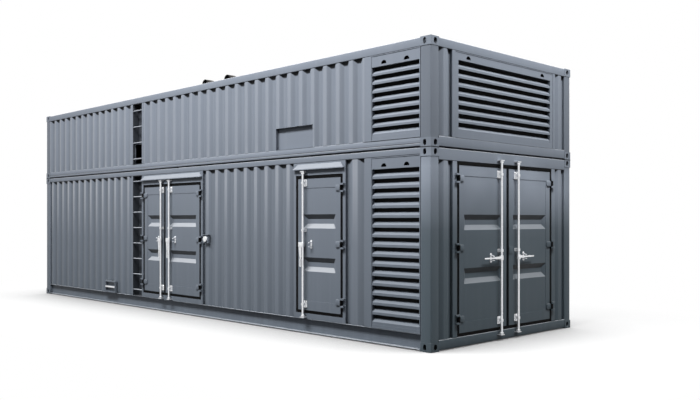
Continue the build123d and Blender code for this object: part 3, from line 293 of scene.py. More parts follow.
def rolled_light_and_shade(tree, along, height, on_end, colour):
    """Painted shade where the crest mark is low, a painted highlight where it is near 1, both by a share that
    each wall has, and a near black painted shadow where the mark under the rail is above 0."""
    crest = add_node(tree, "Attribute", attribute_name="crest").outputs["Fac"]
    rail_shadow = add_node(tree, "Attribute", attribute_name="rail_shadow").outputs["Fac"]
    shade_share = times(tree, spread(tree, on_end, *SHADING_ON_END), spread(tree, along, *SHADING_ALONG))
    shade_share = times(tree, shade_share, spread(tree, height, *SHADING_BY_HEIGHT))
    colour = over(tree, colour, HOLLOW_SHADE, shade_share, spread(tree, crest, *HOLLOW_SHADE_BY_CREST))
    highlight_share = times(tree, shade_share, spread(tree, height, *HIGHLIGHT_BY_HEIGHT))
    colour = over(tree, colour, CREST_HIGHLIGHT, highlight_share, spread(tree, crest, *HIGHLIGHT_BY_CREST))
    return over(tree, colour, PAINTED_SHADE, spread(tree, rail_shadow, *RAIL_SHADOW_RANGE))


# The painted light and shade of the rolled walls follow the two marks.
print("Rolled walls wear by their marks crest and wedge")

# %% [markdown]
# Every ledge is painted pale, as a highlight of the light from above, and the undersides and the corners are
# painted dark, as shade. The Geometry node tells which way a face looks, and the Ambient Occlusion node
# finds the corners, by measuring how much of the nearby space a point can see. After the layers come a very
# fine bump, which is the skin of sprayed paint, and the Bevel node, which rounds the light on sharp edges as
# the paint itself rounds them.

# %% The housing paint
# Painted highlight on faces that look up, and painted shade on undersides and in corners.
LEDGE_HIGHLIGHT = (0.46, 0.475, 0.50, 1.0)
LEDGE_RANGE = (0.2, 0.5)
HIGHLIGHT_BY_AIR = (0.5, 0.85)
UNDERSIDE_SHADE_RANGE = (-0.15, -0.5, 0.0, 0.85)
CORNER_SHADE_REACH = 0.16
CORNER_SHADE_RANGE = (0.12, 0.62)
PAINT_GLOSS = 0.12
PAINT_ROUGHNESS = (0.4, 0.52)
SHEEN_CLOUD = 3.0
SKIN_CLOUD = 160.0
SKIN_DEPTH = 0.0002
PAINT_EDGE = 0.003
# Each mix sets its own shares of painted highlight and painted shade.
PAINTS = {
    "housing_paint": {},
    "rolled_paint": {"rolled": True},
    "faint_highlight_paint": {"ledge_light": 0.1},
    "mild_highlight_paint": {"ledge_light": 0.36},
    "deep_shade_paint": {"open_shade": 0.8},
    "shaded_post_paint": {"open_shade": 0.22},
    "light_corner_shade_paint": {"corner_shade": 0.3},
}


def painted_light_and_shade(tree, colour, ledge_light, corner_shade, open_shade):
    """A painted highlight where a face looks up in the open, painted shade where it looks down, and painted
    shade by how closed in it is."""
    normal = add_node(tree, "NewGeometry").outputs["Normal"]
    looks_up = add_node(tree, "SeparateXYZ", {"Vector": normal}).outputs["Z"]
    air = open_air(tree, CORNER_SHADE_REACH, 6)
    ledge = spread(tree, looks_up, *LEDGE_RANGE, 0.0, ledge_light)
    colour = over(tree, colour, LEDGE_HIGHLIGHT, ledge, spread(tree, air, *HIGHLIGHT_BY_AIR))
    colour = over(tree, colour, PAINTED_SHADE, spread(tree, looks_up, *UNDERSIDE_SHADE_RANGE))
    return over(tree, colour, PAINTED_SHADE, spread(tree, air, *CORNER_SHADE_RANGE, corner_shade, open_shade))


def housing_paint(name, open_shade=0.0, ledge_light=0.7, corner_shade=0.95, rolled=False):
    """Satin paint: the layers one after the other, then sheen and skin. Three shares set how much painted
    highlight lies on ledges, how much painted shade in corners and how much painted shade in the open, and
    rolled adds the painted light and shade of rolled walls."""
    material, tree, shader, place = new_finish(name)
    where = add_node(tree, "SeparateXYZ", {"Vector": place}).outputs
    along, height = where["X"], where["Z"]
    on_end = on_door_end(tree, along)
    colour = end_shade_and_reflection(tree, place, height, on_end, sprayed_colour(tree, place, height))
    if rolled:
        colour = rolled_light_and_shade(tree, along, height, on_end, colour)
    feed(tree, shader.inputs["Base Color"], painted_light_and_shade(tree, colour, ledge_light, corner_shade, open_shade))
    sheen = cloud(tree, place, SHEEN_CLOUD, 4.0)
    feed(tree, shader.inputs["Roughness"], spread(tree, sheen, *MOST_OF_A_CLOUD, *PAINT_ROUGHNESS))
    shader.inputs["Specular IOR Level"].default_value = PAINT_GLOSS
    edge = add_node(tree, "Bevel", {"Radius": PAINT_EDGE}, samples=4).outputs["Normal"]
    feed(tree, shader.inputs["Normal"], bumped(tree, cloud(tree, place, SKIN_CLOUD), SKIN_DEPTH, edge))
    return material


FINISHES = {name: housing_paint(name, **change) for name, change in PAINTS.items()}
print("Mixed", list(FINISHES))

# %% [markdown]
# The lock bars, guides and handles are hot-dip galvanised. Molten zinc freezes into flakes a centimetre or
# two across that catch the light differently, called spangle. Cells of a Voronoi pattern have just that
# look: each cell gets its own grey and its own roughness, on a metal shader.

# %% The galvanised steel
ZINC_DARK = (0.69, 0.70, 0.72, 1.0)
ZINC_LIGHT = (0.82, 0.83, 0.845, 1.0)
SPANGLES_PER_METRE = 85.0
ZINC_ROUGHNESS = (0.34, 0.5)
ZINC_METAL = 0.85
DIP_CLOUD = 60.0
DIP_DEPTH = 0.0003


def galvanised_steel():
    """Zinc: every spangle is a cell with its own grey and roughness, over a faint unevenness from the
    dip."""
    material, tree, shader, place = new_finish("galvanised_steel")
    cells = add_node(tree, "TexVoronoi", {"Vector": place, "Scale": SPANGLES_PER_METRE})
    flake = add_node(tree, "SeparateColor", {"Color": cells.outputs["Color"]}).outputs["Red"]
    feed(tree, shader.inputs["Base Color"], mixed(tree, flake, ZINC_DARK, ZINC_LIGHT))
    feed(tree, shader.inputs["Roughness"], spread(tree, flake, 0.0, 1.0, *ZINC_ROUGHNESS))
    shader.inputs["Metallic"].default_value = ZINC_METAL
    feed(tree, shader.inputs["Normal"], bumped(tree, cloud(tree, place, DIP_CLOUD, 3.0), DIP_DEPTH))
    return material


FINISHES["galvanised_steel"] = galvanised_steel()
print("Mixed", list(FINISHES)[-1])

# %% [markdown]
# The rest of the finishes each cover little: a black rubber for the door seals, chequer plate on the floor,
# the white plastic of the lens on the stop box, and the dull, heat-stained steel of the exhausts. They
# follow the same recipe. The exhausts also darken towards their open mouths, because that is where the soot
# settles.

# %% Rubber, plate, lens and exhaust steel
RUBBER = (0.002, 0.002, 0.0022, 1.0)
RUBBER_CHALK = (0.006, 0.006, 0.0063, 1.0)
RUBBER_GLOSS = 0.08
PLATE_DARK = (0.035, 0.037, 0.04, 1.0)
PLATE_RUBBED = (0.10, 0.10, 0.105, 1.0)
PLATE_ROUGHNESS = (0.6, 0.4)
RIB_TURNS = (math.radians(45.0), math.radians(-45.0))
RIB_SCALE = 9.0
RIB_RANGE = (0.7, 0.9)
RIB_HEIGHT = 0.002
LENS_WHITE = (0.83, 0.84, 0.84, 1.0)
LENS_SHADE = (0.74, 0.76, 0.77, 1.0)
STEEL_DULL = (0.16, 0.155, 0.15, 1.0)
STEEL_STAINED = (0.10, 0.085, 0.075, 1.0)
STEEL_METAL = 0.7
SOOT = (0.008, 0.008, 0.008, 1.0)
SOOT_SHARE = 0.95
SOOT_REACH = 0.22
ROUGHNESS_SWING = 0.06
GRAIN_FINENESS = 30.0


def grained(name, first, second, scale, roughness, grain):
    """A plain finish of two near tones: cloudy colour, cloudy roughness and a grain of that depth."""
    material, tree, shader, place = new_finish(name)
    tone = cloud(tree, place, scale, 4.0)
    feed(tree, shader.inputs["Base Color"], mixed(tree, tone, first, second))
    limits = (roughness - ROUGHNESS_SWING, roughness + ROUGHNESS_SWING)
    feed(tree, shader.inputs["Roughness"], spread(tree, tone, *MOST_OF_A_CLOUD, *limits))
    feed(tree, shader.inputs["Normal"], bumped(tree, cloud(tree, place, GRAIN_FINENESS * scale), grain))
    return material, tree, shader, place


def rubber_seal():
    """Black rubber, a little chalked, with hardly any shine."""
    material, _, shader, _ = grained("rubber_seal", RUBBER, RUBBER_CHALK, 14.0, 0.75, 0.0003)
    shader.inputs["Specular IOR Level"].default_value = RUBBER_GLOSS
    return material


def floor_steel():
    """Chequer plate: raised lozenges from two crossed waves, rubbed bright on top."""
    material, tree, shader, place = new_finish("floor_steel")
    ribs = []
    for turn in RIB_TURNS:
        askew = add_node(tree, "Mapping", {"Vector": place, "Rotation": (0.0, 0.0, turn)}).outputs["Vector"]
        wave = add_node(tree, "TexWave", {"Vector": askew, "Scale": RIB_SCALE, "Distortion": 0.0})
        ribs.append(spread(tree, wave.outputs["Fac"], *RIB_RANGE))
    lozenge = times(tree, *ribs)
    rubbed = times(tree, lozenge, cloud(tree, place, 2.0, 3.0))
    feed(tree, shader.inputs["Base Color"], mixed(tree, rubbed, PLATE_DARK, PLATE_RUBBED))
    feed(tree, shader.inputs["Roughness"], spread(tree, rubbed, 0.0, 1.0, *PLATE_ROUGHNESS))
    feed(tree, shader.inputs["Normal"], bumped(tree, lozenge, RIB_HEIGHT))
    return material


def exhaust_steel():
    """Heat-stained pipe steel with soot that thickens towards the mouths on the service side."""
    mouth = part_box("exhaust_outlets")[0].y
    material, tree, shader, place = grained("exhaust_steel", STEEL_DULL, STEEL_STAINED, 9.0, 0.5, 0.0004)
    stained = shader.inputs["Base Color"].links[0].from_socket
    across = add_node(tree, "SeparateXYZ", {"Vector": place}).outputs["Y"]
    soot = spread(tree, across, mouth, mouth + SOOT_REACH, SOOT_SHARE, 0.0)
    feed(tree, shader.inputs["Base Color"], mixed(tree, soot, stained, SOOT))
    shader.inputs["Metallic"].default_value = STEEL_METAL
    return material


FINISHES["rubber_seal"] = rubber_seal()
FINISHES["floor_steel"] = floor_steel()
FINISHES["lens_plastic"] = grained("lens_plastic", LENS_WHITE, LENS_SHADE, 20.0, 0.2, 0.00005)[0]
FINISHES["exhaust_steel"] = exhaust_steel()
print("Mixed", list(FINISHES)[-4:])

# %% [markdown]
# Every solid of the frame names the finish it is made in. Handing those out is a single loop: each node's
# material slots are cleared and get the finish that the record names. The meshes themselves stay as they
# are. A few painted solids get their own mix. The recess behind the ladder is painted darker, as deep shade.
# The canopies and the end doors get less painted highlight, and the roof and the louvre blades the least.
# The terminal box gets less painted shade in its corners.

# %% Dress the frame
LOUVRES = {
    "lower_side_louvre": "service",
    "upper_side_louvre": "service",
    "lower_back_louvre": "back",
    "upper_back_louvre": "back",
    "upper_end_louvre": "door_end",
}
OWN_MIX = {
    "ladder_recess": "deep_shade_paint",
    "roof_sheet": "faint_highlight_paint",
    "door_canopies": "mild_highlight_paint",
    "terminal_box": "light_corner_shade_paint",
    "end_left_door_leaf": "mild_highlight_paint",
    "end_right_door_leaf": "mild_highlight_paint",
}
OWN_MIX.update({node: "faint_highlight_paint" for node in LOUVRES})
for part in frame["record"]["subparts"]:
    slots = frame["nodes"][part["node"]].data.materials
    slots.clear()
    slots.append(FINISHES[OWN_MIX.get(part["node"], part["material_slot"])])

# %% [markdown]
# A studio product picture stands its subject on a pale floor without an edge. The floor here is one large
# sheet. Near the housing a good share of it is an ordinary matt surface, which keeps the soft shadow.
# Further from the housing it glows more and more, until it is as white as the backdrop and no line shows
# between them.

# %% The floor
FLOOR_REACH = 90.0
FLOOR_LINES = 9
FLOOR_GLOW = 0.5
FADE_FROM = 0.3
FADE_TO = 3.2
FLOOR_PALE = (0.56, 0.56, 0.56, 1.0)
FLOOR_PALER = (0.60, 0.60, 0.60, 1.0)
FLOOR_CLOUD = 0.05
FLOOR_SHADE = (0.20, 0.20, 0.205, 1.0)
SHADE_REACH = 1.3
SHADE_RANGE = (0.45, 0.95)
FLOOR_BOUNCE = (0.05, 0.05, 0.052, 1.0)
WHITE = (1.0, 1.0, 1.0, 1.0)


def seen_directly(tree):
    """1 for rays from the camera, and for mirror and glass rays, so that metal shows the same backdrop."""
    path = add_node(tree, "LightPath").outputs
    mirror_or_glass = reckon(tree, "MAXIMUM", path["Is Glossy Ray"], path["Is Transmission Ray"])
    return reckon(tree, "MAXIMUM", path["Is Camera Ray"], mirror_or_glass)


def floor_finish():
    """Matt pale floor that is lifted towards white where it is seen directly, the more so the further it
    lies from the housing: the length of what is left of a place when half the housing is taken off each
    way."""
    material = bpy.data.materials.new("studio_floor")
    tree = empty_tree(material)
    place = add_node(tree, "TexCoord").outputs["Object"]
    pale = mixed(tree, cloud(tree, place, FLOOR_CLOUD), FLOOR_PALE, FLOOR_PALER)
    matt = add_node(tree, "BsdfDiffuse", {"Color": pale}).outputs["BSDF"]
    # Painted shadow: the glow is darkened where the housing closes the floor in, as the Ambient Occlusion node
    # measures.
    shade = mixed(tree, spread(tree, open_air(tree, SHADE_REACH, 8), *SHADE_RANGE), FLOOR_SHADE, WHITE)
    glow = add_node(tree, "Emission", {"Color": shade, "Strength": 1.0}).outputs["Emission"]
    either_way = reckon_vector(tree, "ABSOLUTE", place)
    past_edge = reckon_vector(tree, "SUBTRACT", either_way, (LENGTH / 2, WIDTH / 2, 0.0))
    outside = reckon_vector(tree, "MAXIMUM", past_edge, (0.0, 0.0, 0.0))
    fade = spread(tree, reckon_vector(tree, "LENGTH", outside), FADE_FROM, FADE_TO, FLOOR_GLOW, 1.0)
    bounce = add_node(tree, "BsdfDiffuse", {"Color": FLOOR_BOUNCE}).outputs["BSDF"]
    surface = blended(tree, seen_directly(tree), bounce, blended(tree, fade, matt, glow))
    add_node(tree, "OutputMaterial", {"Surface": surface})
    return material


def grid_quads(rows, columns, round_rows=False, round_columns=False):
    """Corner numbers of the quads of a grid of points, closed into a ring either way if asked."""
    row = np.arange(rows if round_rows else rows - 1)[:, None]
    column = np.arange(columns if round_columns else columns - 1)[None, :]
    next_row = (row + 1) % rows
    next_column = (column + 1) % columns
    corners = [
        row * columns + column,
        row * columns + next_column,
        next_row * columns + next_column,
        next_row * columns + column,
    ]
    return np.stack(corners, axis=-1).reshape(-1, 4)


lines = np.linspace(-FLOOR_REACH, FLOOR_REACH, FLOOR_LINES)
floor_x, floor_y = np.meshgrid(lines, lines)
floor_points = np.stack([floor_x, floor_y, np.zeros_like(floor_x)], axis=-1).reshape(-1, 3)
floor_mesh = bpy.data.meshes.new("studio_floor")
floor_mesh.from_pydata(floor_points.tolist(), [], grid_quads(FLOOR_LINES, FLOOR_LINES).tolist())
floor_mesh.materials.append(floor_finish())
floor = bpy.data.objects.new("studio_floor", floor_mesh)
scene.collection.objects.link(floor)
print("Floor of", len(floor_points), "points")

# %% [markdown]
# The light comes from two long soft boxes, hung almost straight above the service side and the door end, as
# in a drive-in studio. Light that grazes a wall from above makes ledges shine, leaves the wall in a middle
# tone that fades towards the floor, and throws every groove, gap and underside into shade. The back and the
# far end get a plainer light from two lower boxes, and a dim dome, brightest overhead, fills the rest.

# %% The lamps and the backdrop
LAMPS = {
    "side_box": {"place": (1.9, -8.6, 13.0), "aim": (1.9, -1.7, 1.8), "size": (11.5, 2.6), "power": 3560.0},
    "end_box": {"place": (9.4, 0.3, 9.0), "aim": (5.6, 0.2, 3.0), "size": (4.5, 1.4), "power": 930.0},
    "back_box": {"place": (0.0, 13.0, 6.5), "aim": (0.0, 1.7, 2.2), "size": (12.0, 3.0), "power": 1500.0},
    "far_box": {"place": (-13.0, 0.5, 6.0), "aim": (-5.6, 0.0, 2.4), "size": (4.5, 2.0), "power": 650.0},
}
DOME_AXIS = (-0.16, -0.30, 0.94)
DOME_COLOUR = (0.97, 0.985, 1.0, 1.0)
DOME_LEVELS = (0.02, 0.5)
DOME_POWER = 1.4


def add_lamp(name, place, aim, size, power):
    """A long area lamp that points at a place, its long side level."""
    data = bpy.data.lights.new(name, "AREA")
    data.shape = "RECTANGLE"
    data.size, data.size_y = size
    data.energy = power
    lamp = bpy.data.objects.new(name, data)
    lamp.location = place
    way = np.subtract(aim, place)
    level = math.hypot(way[0], way[1])
    lamp.rotation_euler = (math.atan2(level, -way[2]), 0.0, math.atan2(way[1], way[0]) - math.pi / 2)
    lamp.visible_camera = False
    scene.collection.objects.link(lamp)


def studio_backdrop():
    """White where it is seen directly. Otherwise its light falls off from the dome's axis as a power of the
    cosine of the angle to it, down to a small level all round."""
    world = bpy.data.worlds.new("studio")
    tree = empty_tree(world)
    way = add_node(tree, "TexCoord").outputs["Generated"]
    cosine = reckon_vector(tree, "DOT_PRODUCT", way, DOME_AXIS)
    fall = reckon(tree, "POWER", spread(tree, cosine, 0.0, 1.0), DOME_POWER)
    level = spread(tree, fall, 0.0, 1.0, *DOME_LEVELS)
    dome = add_node(tree, "Background", {"Color": DOME_COLOUR, "Strength": level}).outputs["Background"]
    white = add_node(tree, "Background", {"Color": WHITE, "Strength": 1.0}).outputs["Background"]
    add_node(tree, "OutputWorld", {"Surface": blended(tree, seen_directly(tree), dome, white)})
    scene.world = world


for lamp_name, lamp in LAMPS.items():
    add_lamp(lamp_name, **lamp)
studio_backdrop()
print("Lit by", list(LAMPS))

# %% [markdown]
# The added pieces are placed on walls, and it is easiest to think on a wall too. So points are given as
# along it, behind its outer face, and up, whichever wall it is, and are only turned into the frame at the
# very end.

# %% Places on a wall
WALLS = {
    "service": (0.0, WIDTH / 2),
    "door_end": (math.pi / 2, LENGTH / 2),
    "back": (math.pi, WIDTH / 2),
    "far_end": (-math.pi / 2, LENGTH / 2),
}


def on_wall(wall, points):
    """Points given as along, behind and up, turned about the upright axis and moved out to a wall."""
    turn, reach = WALLS[wall]
    along, behind, up = np.moveaxis(np.asarray(points, dtype=float), -1, 0)
    x = along * math.cos(turn) - (behind - reach) * math.sin(turn)
    y = along * math.sin(turn) + (behind - reach) * math.cos(turn)
    return np.stack([x, y, up], axis=-1)


def off_wall(wall, points):
    """The way back: points of the frame as along, behind and up on a wall."""
    turn, reach = WALLS[wall]
    x, y, up = np.moveaxis(np.asarray(points, dtype=float), -1, 0)
    along = x * math.cos(turn) + y * math.sin(turn)
    behind = y * math.cos(turn) - x * math.sin(turn) + reach
    return np.stack([along, behind, up], axis=-1)


def wall_box(wall, node):
    """The low and high corner of a node, measured on a wall."""
    corners = off_wall(wall, [tuple(corner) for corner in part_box(node)])
    return corners.min(axis=0), corners.max(axis=0)


def foot_and_head(node):
    """How high a node starts and ends."""
    low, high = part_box(node)
    return low.z, high.z


print("Walls:", list(WALLS))

# %% [markdown]
# The pieces are steel that was bent, rolled or turned, so they are nearly all made one way: a closed
# outline is carried along a line, changing a little as it goes, and a skin is drawn over the loops that it
# leaves behind. A shape is its points and its faces, which are grouped by how many corners they have.

# %% Outlines and skins
OTHER_AXES = {"along": (1, 2), "behind": (0, 2), "up": (0, 1)}
RIM_STEPS = (0.0, 0.35, 1.0)


def box_outline(first, second):
    """The four corners of a rectangle between two opposite corners."""
    return np.array([first, (second[0], first[1]), second, (first[0], second[1])], dtype=float)


def circle(radius, count=20):
    """Points round a circle: radius times the cosine and sine of evenly spaced angles."""
    angle = np.arange(count) * 2 * math.pi / count
    return radius * np.stack([np.cos(angle), np.sin(angle)], axis=-1)


def rounded(corners, radius, steps=5):
    """An outline whose corners are arcs. The centre of an arc lies on the line that halves the corner, at
    the radius over the sine of half the corner, and the arc swings evenly from one side's touch to the
    other's."""
    corner = np.asarray(corners, dtype=float)
    size = np.broadcast_to(radius, len(corner))[:, None]
    back = np.roll(corner, 1, axis=0) - corner
    back = back / np.linalg.norm(back, axis=1, keepdims=True)
    ahead = np.roll(corner, -1, axis=0) - corner
    ahead = ahead / np.linalg.norm(ahead, axis=1, keepdims=True)
    half = np.arccos(np.sum(back * ahead, axis=1, keepdims=True)) / 2
    middle = back + ahead
    centre = corner + middle / np.linalg.norm(middle, axis=1, keepdims=True) * size / np.sin(half)
    start = (corner + back * size / np.tan(half) - centre)[:, None]
    end = (corner + ahead * size / np.tan(half) - centre)[:, None]
    sweep = (math.pi - 2 * half)[:, None]
    share = np.linspace(0.0, 1.0, steps)[None, :, None]
    arc = (np.sin((1 - share) * sweep) * start + np.sin(share * sweep) * end) / np.sin(sweep)
    return (centre[:, None] + arc).reshape(-1, 2)


def facing_out(points, groups):
    """A closed skin, turned round if the volume in it comes out below zero. For that every face is a fan of
    triangles about its first corner, and each triangle closes a wedge with the origin."""
    fans = [points[group] for group in groups]
    inside = sum(np.sum(fan[:, :1] * np.cross(fan[:, 1:-1], fan[:, 2:])) for fan in fans)
    return points, [group[:, ::-1] for group in groups] if inside < 0 else groups


def loft(loops):
    """A skin over loops of points, with a flat cap on each end."""
    rows, columns = loops.shape[:2]
    ring = np.arange(columns)
    caps = np.stack([ring[::-1], ring + (rows - 1) * columns])
    return facing_out(loops.reshape(-1, 3), [grid_quads(rows, columns, round_columns=True), caps])


def slab(outline, axis, low, high, rim=0.0):
    """An outline carried along an axis from low to high, its rims rounded by quarter arcs of that size."""
    step = np.array(RIM_STEPS if rim > 0 else RIM_STEPS[:1])
    tuck = rim * (1 - np.sqrt(1 - (1 - step) ** 2))
    station = np.concatenate([low + rim * step, high - rim * step[::-1]])
    tuck = np.concatenate([tuck, tuck[::-1]])[:, None, None]
    middle = (outline.min(axis=0) + outline.max(axis=0)) / 2
    half = (outline.max(axis=0) - outline.min(axis=0)) / 2
    first, second = OTHER_AXES[axis]
    loops = np.empty((len(station), len(outline), 3))
    loops[..., [first, second]] = middle + (outline - middle) * (1 - tuck / half)
    loops[..., 3 - first - second] = station[:, None]
    return loft(loops)


def turned(profile, axis, centre, count=24):
    """A profile of reaches and radii, swung right round an axis through a centre."""
    reach, radius = np.asarray(profile, dtype=float).T
    first, second = OTHER_AXES[axis]
    loops = np.tile(np.asarray(centre, dtype=float), (len(reach), count, 1))
    loops[..., [first, second]] += radius[:, None, None] * circle(1.0, count)
    loops[..., 3 - first - second] += reach[:, None]
    return loft(loops)


print("Shapes can be carried along or swung round", list(OTHER_AXES))

# %% [markdown]
# What is left is to gather shapes and to hand them over as a mesh. A piece gets its finish, smooth shading
# that stops at real edges, and the body that carries it.

# %% Pieces
SOFT_EDGE = math.radians(32.0)


def copies(shape, places):
    """One shape repeated at many places, as a single shape."""
    points, groups = shape
    many = (points[None] + np.asarray(places, dtype=float)[:, None]).reshape(-1, 3)
    start = (np.arange(len(places)) * len(points))[:, None, None]
    return many, [(group[None] + start).reshape(-1, group.shape[1]) for group in groups]


def joined(shapes):
    """Several shapes as a single shape: points in a row and face numbers moved along."""
    starts = np.cumsum([0] + [len(points) for points, groups in shapes])
    groups = [group + start for (points, faces), start in zip(shapes, starts) for group in faces]
    return np.concatenate([points for points, faces in shapes]), groups


def shape_on(wall, shape):
    """A shape measured on a wall, turned into the frame."""
    return on_wall(wall, shape[0]), shape[1]


def new_piece(name, shape, finish, body="housing", mix=None):
    """A piece from a shape in the frame, in a finish or its own mix of it, that rides a body."""
    points, groups = shape
    mesh = bpy.data.meshes.new(name)
    mesh.from_pydata(points.tolist(), [], [face for group in groups for face in group.tolist()])
    mesh.materials.append(FINISHES[mix or finish])
    mesh.shade_smooth()
    mesh.set_sharp_from_angle(angle=SOFT_EDGE)
    piece = bpy.data.objects.new(name, mesh)
    scene.collection.objects.link(piece)
    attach(piece, body)
    print(name, "has", len(mesh.vertices), "points")
    return piece


print("Edges softer than", round(math.degrees(SOFT_EDGE)), "degrees are shaded smooth")

# %% [markdown]
# Container walls are thin sheet, rolled into a wave that makes it stiff. A roller cannot fold a sharp
# corner, so the real wave has round bends, and those bends are what catches the light. The sheet is a
# surface of two parameters, along and up. Its depth is a trapezoid wave that is averaged over a short
# reach, which rounds every fold. A second copy of the surface, further behind, gives it the thickness of
# the sheet. A Solidify modifier would do so too, but it also bends the shading along the rims, which shows
# on a plain painted wall.

# %% The rolled wall sheets
WAVE = 0.262
SHEET = 0.003
WAVE_SHARES = (0.13, 0.245, 0.25, 0.245, 0.13)
WAVE_LEVELS = (0.0, 0.0, 1.0, 1.0, 0.0, 0.0)
BEND_SHARE = 0.06
BEND_SAMPLES = 9
POINTS_PER_WAVE = 40
SHEET_ROWS = 4
# How far the painted shadow under a rail drops, for each metre of depth in the wave.
RAIL_SHADOW_DROP = 1.5
ON_CREST = 0.0
IN_HOLLOW = 0.5
PLAIN_SHEETS = {
    "lower_wall_far": ("service", IN_HOLLOW),
    "lower_wall_middle": ("service", IN_HOLLOW),
    "lower_wall_near": ("service", IN_HOLLOW),
    "upper_wall_far": ("service", ON_CREST),
    "lower_back_wall": ("back", IN_HOLLOW),
    "upper_back_wall": ("back", ON_CREST),
    "lower_far_end_wall": ("far_end", IN_HOLLOW),
    "upper_far_end_wall": ("far_end", ON_CREST),
}


def rolled_depth(share):
    """Depth from 0 to 1 at a share of the wave: flat, slope, flat, slope, flat, averaged over the bend."""
    knots = np.concatenate([[0.0], np.cumsum(WAVE_SHARES)])
    offsets = np.linspace(-BEND_SHARE / 2, BEND_SHARE / 2, BEND_SAMPLES)
    return np.mean([np.interp((share + offset) % 1.0, knots, WAVE_LEVELS) for offset in offsets], axis=0)


def thickened(points, quads):
    """A sheet given its thickness: the same points further behind, the faces turned round there, and a rim
    of faces along every edge that belongs to one face only."""
    count = len(points)
    edges = np.concatenate([quads[:, [k, (k + 1) % 4]] for k in range(4)])
    twins = edges[:, 1] * count + edges[:, 0]
    rim = edges[~np.isin(edges[:, 0] * count + edges[:, 1], twins)]
    sides = np.stack([rim[:, 1], rim[:, 0], rim[:, 0] + count, rim[:, 1] + count], axis=-1)
    return np.concatenate([points, points + (0.0, SHEET, 0.0)]), [quads, quads[:, ::-1] + count, sides]


def rolled_sheet(low, high, start=ON_CREST, hole=None):
    """A rolled sheet between two corners on a wall, as along, behind and up. Its wave starts at a share of
    a wave, and it has a square hole if asked."""
    waves = max(1, round((high[0] - low[0]) / WAVE))
    along = np.linspace(low[0], high[0], waves * POINTS_PER_WAVE + 1)
    up = np.linspace(low[2], high[2], SHEET_ROWS)
    if hole is not None:
        along = np.union1d(along, [hole[0][0], hole[1][0]])
        up = np.union1d(up, [hole[1][2]])
    share = start + (along - low[0]) / (high[0] - low[0]) * waves
    behind = low[1] + rolled_depth(share) * (high[1] - low[1] - SHEET)
    points = np.stack(np.broadcast_arrays(along[None], behind[None], up[:, None]), axis=-1).reshape(-1, 3)
    quads = grid_quads(len(up), len(along))
    if hole is not None:
        middle = points[quads].mean(axis=1)
        inside = (middle > hole[0]) & (middle < hole[1])
        quads = quads[~(inside[:, 0] & inside[:, 2])]
    used, corners = np.unique(quads, return_inverse=True)
    return thickened(points[used], corners.reshape(quads.shape))


def mark(piece, name, values):
    """Keeps one number for every point of a piece, which a finish can read by that name."""
    piece.data.attributes.new(name, "FLOAT", "POINT").data.foreach_set("value", values)


def hang_sheet(node, wall, shape):
    """Puts a rolled sheet in the place of a node. Its crest mark falls from 1 on a crest to 0 in a hollow, and
    its second mark, which places a painted shadow under the rail, is above 0 where a point lies less far under
    the rail than that shadow drops at that depth."""
    piece = new_piece("rolled_" + node, shape_on(wall, shape), "housing_paint", mix="rolled_paint")
    depth = shape[0][:, 1] - shape[0][:, 1].min()
    under_rail = shape[0][:, 2].max() - shape[0][:, 2]
    mark(piece, "crest", 1.0 - depth / depth.max())
    # The second mark places a painted shadow under the rail.
    mark(piece, "rail_shadow", RAIL_SHADOW_DROP * depth - under_rail)
    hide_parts(node)


for node, (wall, start) in PLAIN_SHEETS.items():
    hang_sheet(node, wall, rolled_sheet(*wall_box(wall, node), start))
hatch_box = wall_box("service", "upper_hatch")
pierced_sheet = rolled_sheet(*wall_box("service", "upper_wall_middle"), ON_CREST, hatch_box)
hang_sheet("upper_wall_middle", "service", pierced_sheet)

# %% [markdown]
# On the door end only a narrow strip of sheet is left on each side of the opening. Both strips of a storey
# are one node, so both go into one piece. Where each strip ends is read from what stands beside it.

# %% The end strips
STUD_WIDTH = 0.060


def strip_pair(node, inner_edge):
    """Two rolled strips, from the outer edges of a node in to the same distance on both sides."""
    low, high = wall_box("door_end", node)
    left = rolled_sheet(low, (-inner_edge, high[1], high[2]), IN_HOLLOW)
    right = rolled_sheet((inner_edge, low[1], low[2]), high, IN_HOLLOW)
    return joined([left, right])


jamb_edge = wall_box("door_end", "end_door_jambs")[1][0]
louvre_edge = wall_box("door_end", "upper_end_louvre")[1][0] + STUD_WIDTH
hang_sheet("lower_end_strips", "door_end", strip_pair("lower_end_strips", jamb_edge))
hang_sheet("upper_end_strips", "door_end", strip_pair("upper_end_strips", louvre_edge))

# %% [markdown]
# Posts are pressed from plate, and their long edges are bent, not cut. A rounded outline carried up gives
# the soft line of light that runs down every edge. One post is made and mirrored to the other corners. A
# mirror turns a skin inside out, so each copy is turned to face outwards again.

# %% Posts
POST_EDGE = 0.014
wall_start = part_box("lower_wall_far")[0].x
end_half_width = wall_box("far_end", "lower_far_end_wall")[1][0]


def post_set(node, mix=None):
    """Four posts: one rounded box outline carried up, and its mirror images about the middle of the
    housing."""
    low, high = wall_box("service", node)
    outline = rounded(box_outline(low[:2], (wall_start, WIDTH / 2 - end_half_width)), POST_EDGE)
    points, groups = slab(outline, "up", low[2], high[2])
    middle = np.array([0.0, WIDTH / 2, 0.0])
    flips = [(along, across, 1.0) for along in (1.0, -1.0) for across in (1.0, -1.0)]
    posts = joined([facing_out(middle + (points - middle) * flip, groups) for flip in flips])
    piece = new_piece("rounded_" + node, shape_on("service", posts), "housing_paint", mix=mix)
    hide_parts(node)


post_set("lower_corner_posts")
# The upper posts get a mix with more painted shade in the open, so they show darker.
post_set("upper_corner_posts", "shaded_post_paint")

# %% [markdown]
# Rails are bent from plate in the same way, and a door frame is cut from the same section, so its box gives
# their depth. The sill under the lower walls is an open channel, and the long rail over the joint between
# the storeys leans back a little at its top and carries a pressed line. Each outline is given as behind and
# up.

